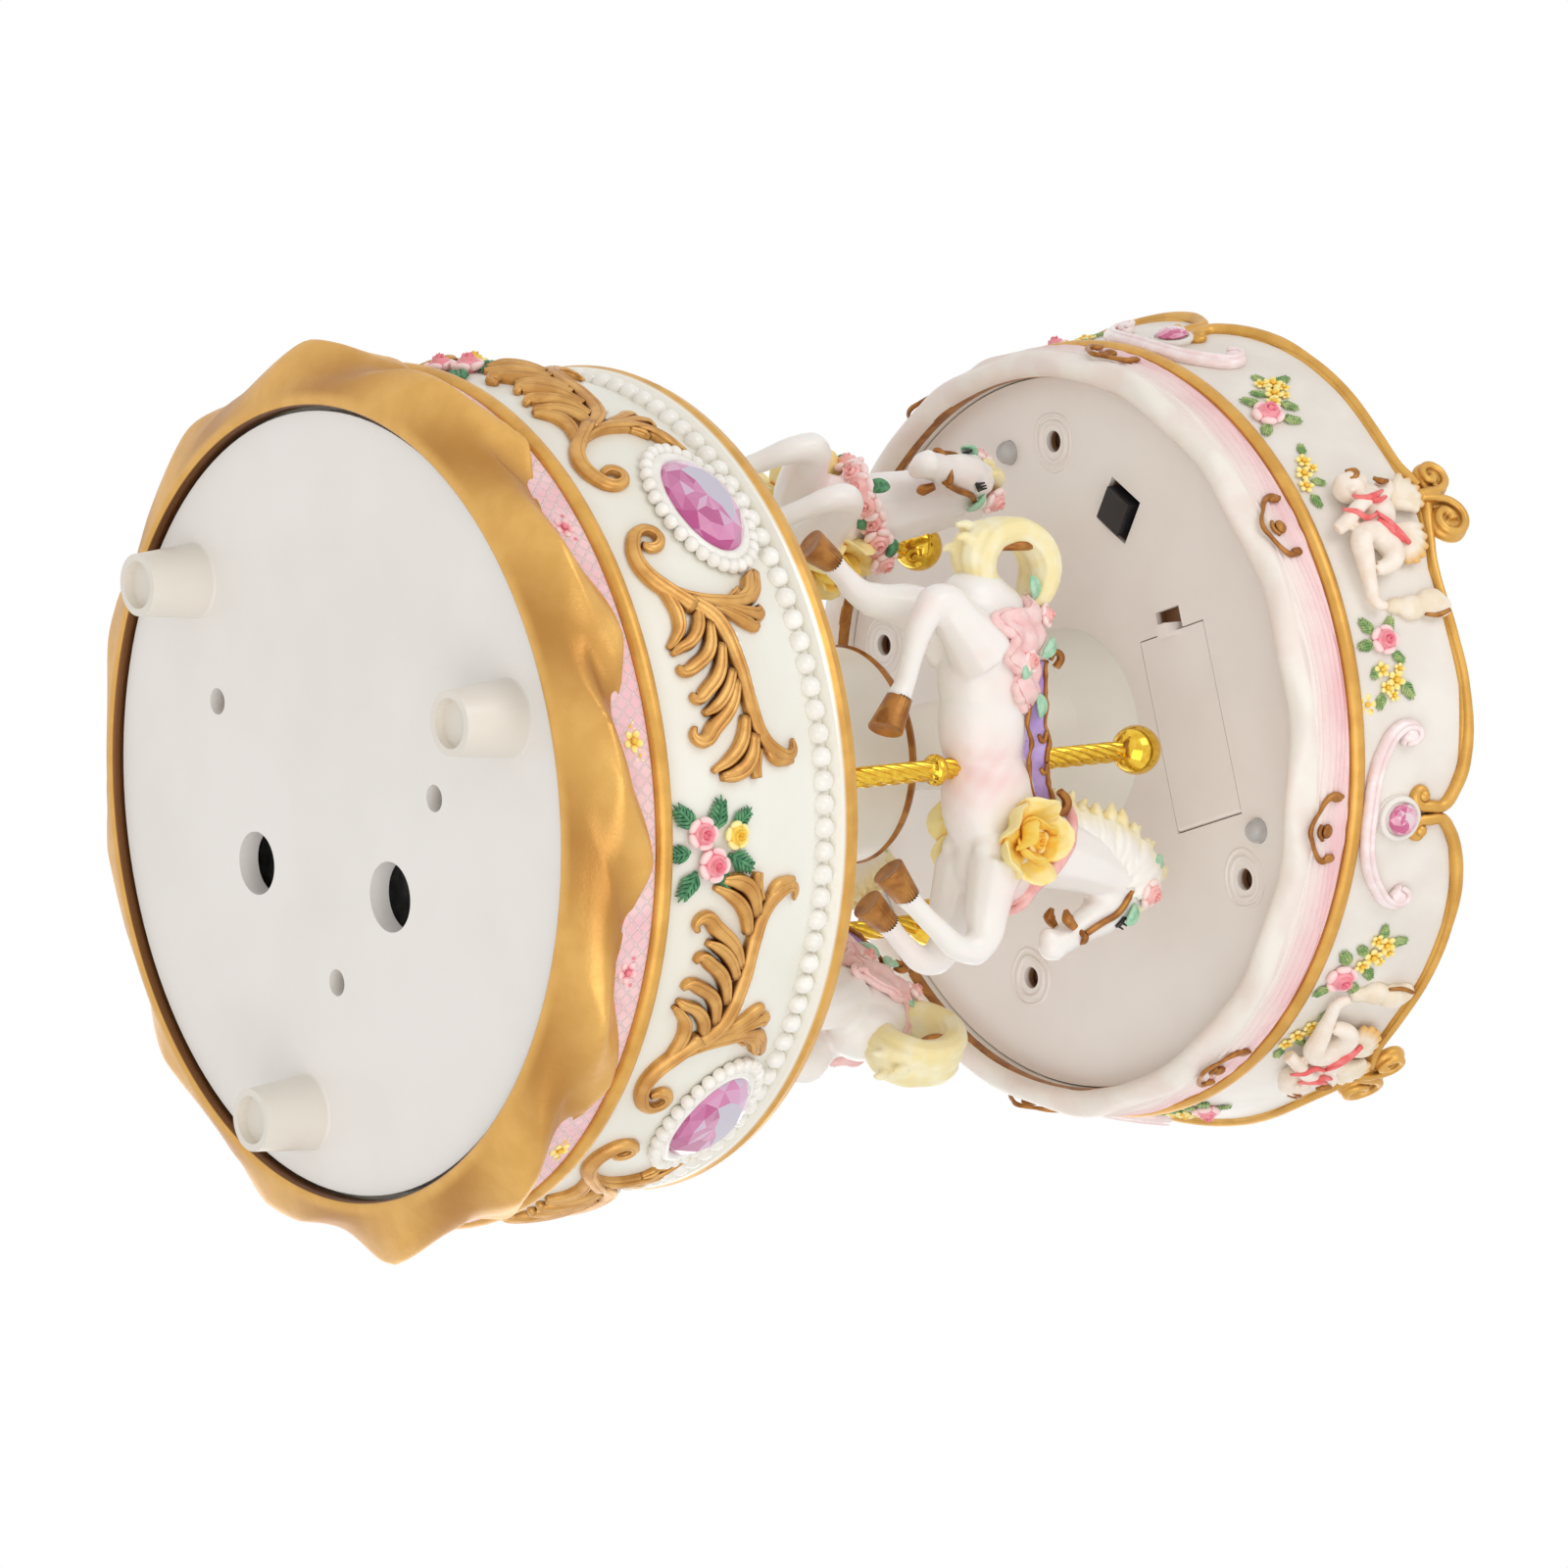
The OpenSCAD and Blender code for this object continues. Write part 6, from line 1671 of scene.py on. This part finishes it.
ribbon = rods([[(38.2, 127.0, 3.3, 0.15), (38.9, 128.0, 3.6, 0.4), (38.8, 129.6, 3.4, 0.45),
                (38.2, 131.4, 3.1, 0.2)],
               [(38.9, 128.6, 3.3, 0.3), (39.3, 130.0, 3.2, 0.4), (39.0, 131.6, 3.0, 0.2)],
               [(39.6, 125.0, 3.2, 0.15), (40.4, 126.4, 3.5, 0.35), (41.2, 127.6, 3.3, 0.35),
                (41.0, 129.2, 3.3, 0.2)],
               [(40.6, 129.2, 3.1, 0.2), (42.2, 130.2, 3.3, 0.4), (43.8, 131.4, 3.0, 0.42),
                (44.8, 132.6, 2.4, 0.3)],
               [(41.6, 129.0, 3.2, 0.2), (43.0, 130.2, 3.3, 0.35), (44.6, 131.6, 2.8, 0.3)]],
              "ribbon_pattern")
on_crown(ribbon, "cherub_sashes", sash_paint, "rose_paint")

cloud = joined([lump((51.6, 134.4, 0.6), (1.8, 2.1, 1.2)), lump((51.9, 131.8, 0.5), (1.6, 2.0, 1.1)),
                lump((51.4, 129.8, 0.3), (1.1, 1.4, 0.8)), lump((52.2, 135.8, 0.5), (1.4, 1.3, 1.0))],
               "cloud_pattern")
fused(cloud, 0.25, 3)
on_crown(cloud, "small_clouds", tan_paint, "ivory_resin")
tips = rods([[(34.8, 128.0, 3.0, 0.2), (35.3, 128.9, 3.4, 0.4), (36.1, 128.4, 3.7, 0.3),
              (36.2, 127.6, 3.6, 0.15)],
             [(36.2, 131.4, 2.7, 0.2), (36.9, 132.0, 2.9, 0.4), (37.0, 133.0, 2.8, 0.25)],
             [(52.9, 136.2, 1.3, 0.25), (53.3, 134.6, 1.2, 0.3), (53.0, 133.0, 1.0, 0.2)]], "tip_pattern")
on_crown(tips, "gilt_tips", bronze_paint, "gilt")
print("cherubs:", len(figures.data.polygons), "faces")

# %% [markdown]
# ## Floor, lamps and camera
# The portrait is taken from under the object, so the floor is clear when seen from below. It
# shows, with the object's shadow on it, only to a camera that looks down on it. To every other
# ray it is clear, so a lamp that hangs below it still reaches the object.

# %% Floor
bpy.ops.mesh.primitive_plane_add(size=4)
floor = bpy.context.object
floor.name = "studio_floor"
paper = bpy.data.materials.new("studio_paper")
paper.use_nodes = True
tree = paper.node_tree
tree.nodes["Principled BSDF"].inputs["Base Color"].default_value = colour("F7F6F4")
tree.nodes["Principled BSDF"].inputs["Roughness"].default_value = 0.9
path = add(tree, "ShaderNodeLightPath").outputs
side = add(tree, "ShaderNodeNewGeometry").outputs["Backfacing"]
front = add(tree, "ShaderNodeMath", {0: 1.0, 1: side}, operation="SUBTRACT").outputs[0]
shown = add(tree, "ShaderNodeMath", {0: path["Is Camera Ray"], 1: front}, operation="MULTIPLY").outputs[0]
clear = add(tree, "ShaderNodeBsdfTransparent").outputs["BSDF"]
mixed = add(tree, "ShaderNodeMixShader", {0: shown, 1: clear,
                                          2: tree.nodes["Principled BSDF"].outputs["BSDF"]})
tree.links.new(mixed.outputs[0], tree.nodes["Material Output"].inputs["Surface"])
floor.data.materials.append(paper)
print("floor of 4 m laid")

# %% [markdown]
# ### Light
# The sky is plain white to the camera and in reflections, and a little dimmer as a light, so
# that folds keep their shade. Three large soft lamps look at the middle of the object: a key
# lamp on one side, a fill lamp from below and a lamp behind.

# %% Light
world = bpy.data.worlds.new("studio")
bpy.context.scene.world = world
world.use_nodes = True
tree = world.node_tree
path = add(tree, "ShaderNodeLightPath").outputs
seen = add(tree, "ShaderNodeMath", {0: path["Is Camera Ray"], 1: path["Is Glossy Ray"]},
           operation="MAXIMUM").outputs[0]
seen = add(tree, "ShaderNodeMath", {0: seen, 1: path["Is Transmission Ray"]},
           operation="MAXIMUM").outputs[0]
strength = add(tree, "ShaderNodeMapRange", {"Value": seen, "To Min": 0.74,
                                            "To Max": 1.0}).outputs["Result"]
tree.nodes["Background"].inputs["Color"].default_value = (1, 1, 1, 1)
tree.links.new(strength, tree.nodes["Background"].inputs["Strength"])


def lamp(name, place, power, size):
    """A soft lamp that looks at the middle of the object."""
    place = Vector(place)
    bpy.ops.object.light_add(type="AREA", location=place,
                             rotation=(place - Vector((0, 0, 0.08))).to_track_quat("Z", "Y").to_euler())
    item = bpy.context.object
    item.name = name
    item.data.energy, item.data.size = power, size
    return item


lamp("key", (-0.45, -0.65, 0.20), 1.1, 0.4)
lamp("fill", (0.35, -0.75, -0.45), 2.8, 0.8)
lamp("back", (0.4, 0.7, 0.5), 2.0, 0.8)
print("three lamps and a pale sky")

# %% [markdown]
# ### Camera
# The camera has a long lens and stands below and in front of the object, turned so that the
# object seems to lie on its side. Its right, up and forward directions fill its matrix.

# %% Camera
bpy.ops.object.camera_add(location=(-37.40 * MM, -663.52 * MM, -432.34 * MM))
camera = bpy.context.object
camera.name = "portrait"
camera.data.lens, camera.data.sensor_width = 160.06, 36
right, up = Vector((0.06311, -0.60676, 0.79237)), Vector((-0.99684, 0, 0.07940))
forward = Vector((0.04818, 0.79488, 0.60485))
turned = Matrix((right, up, -forward)).transposed().to_4x4()
camera.matrix_world = Matrix.Translation(camera.location) @ turned
camera.data.clip_start, camera.data.clip_end = 0.01, 20
bpy.context.scene.camera = camera
bpy.context.scene.view_settings.view_transform = "Standard"
print("camera with a lens of", round(camera.data.lens), "mm")
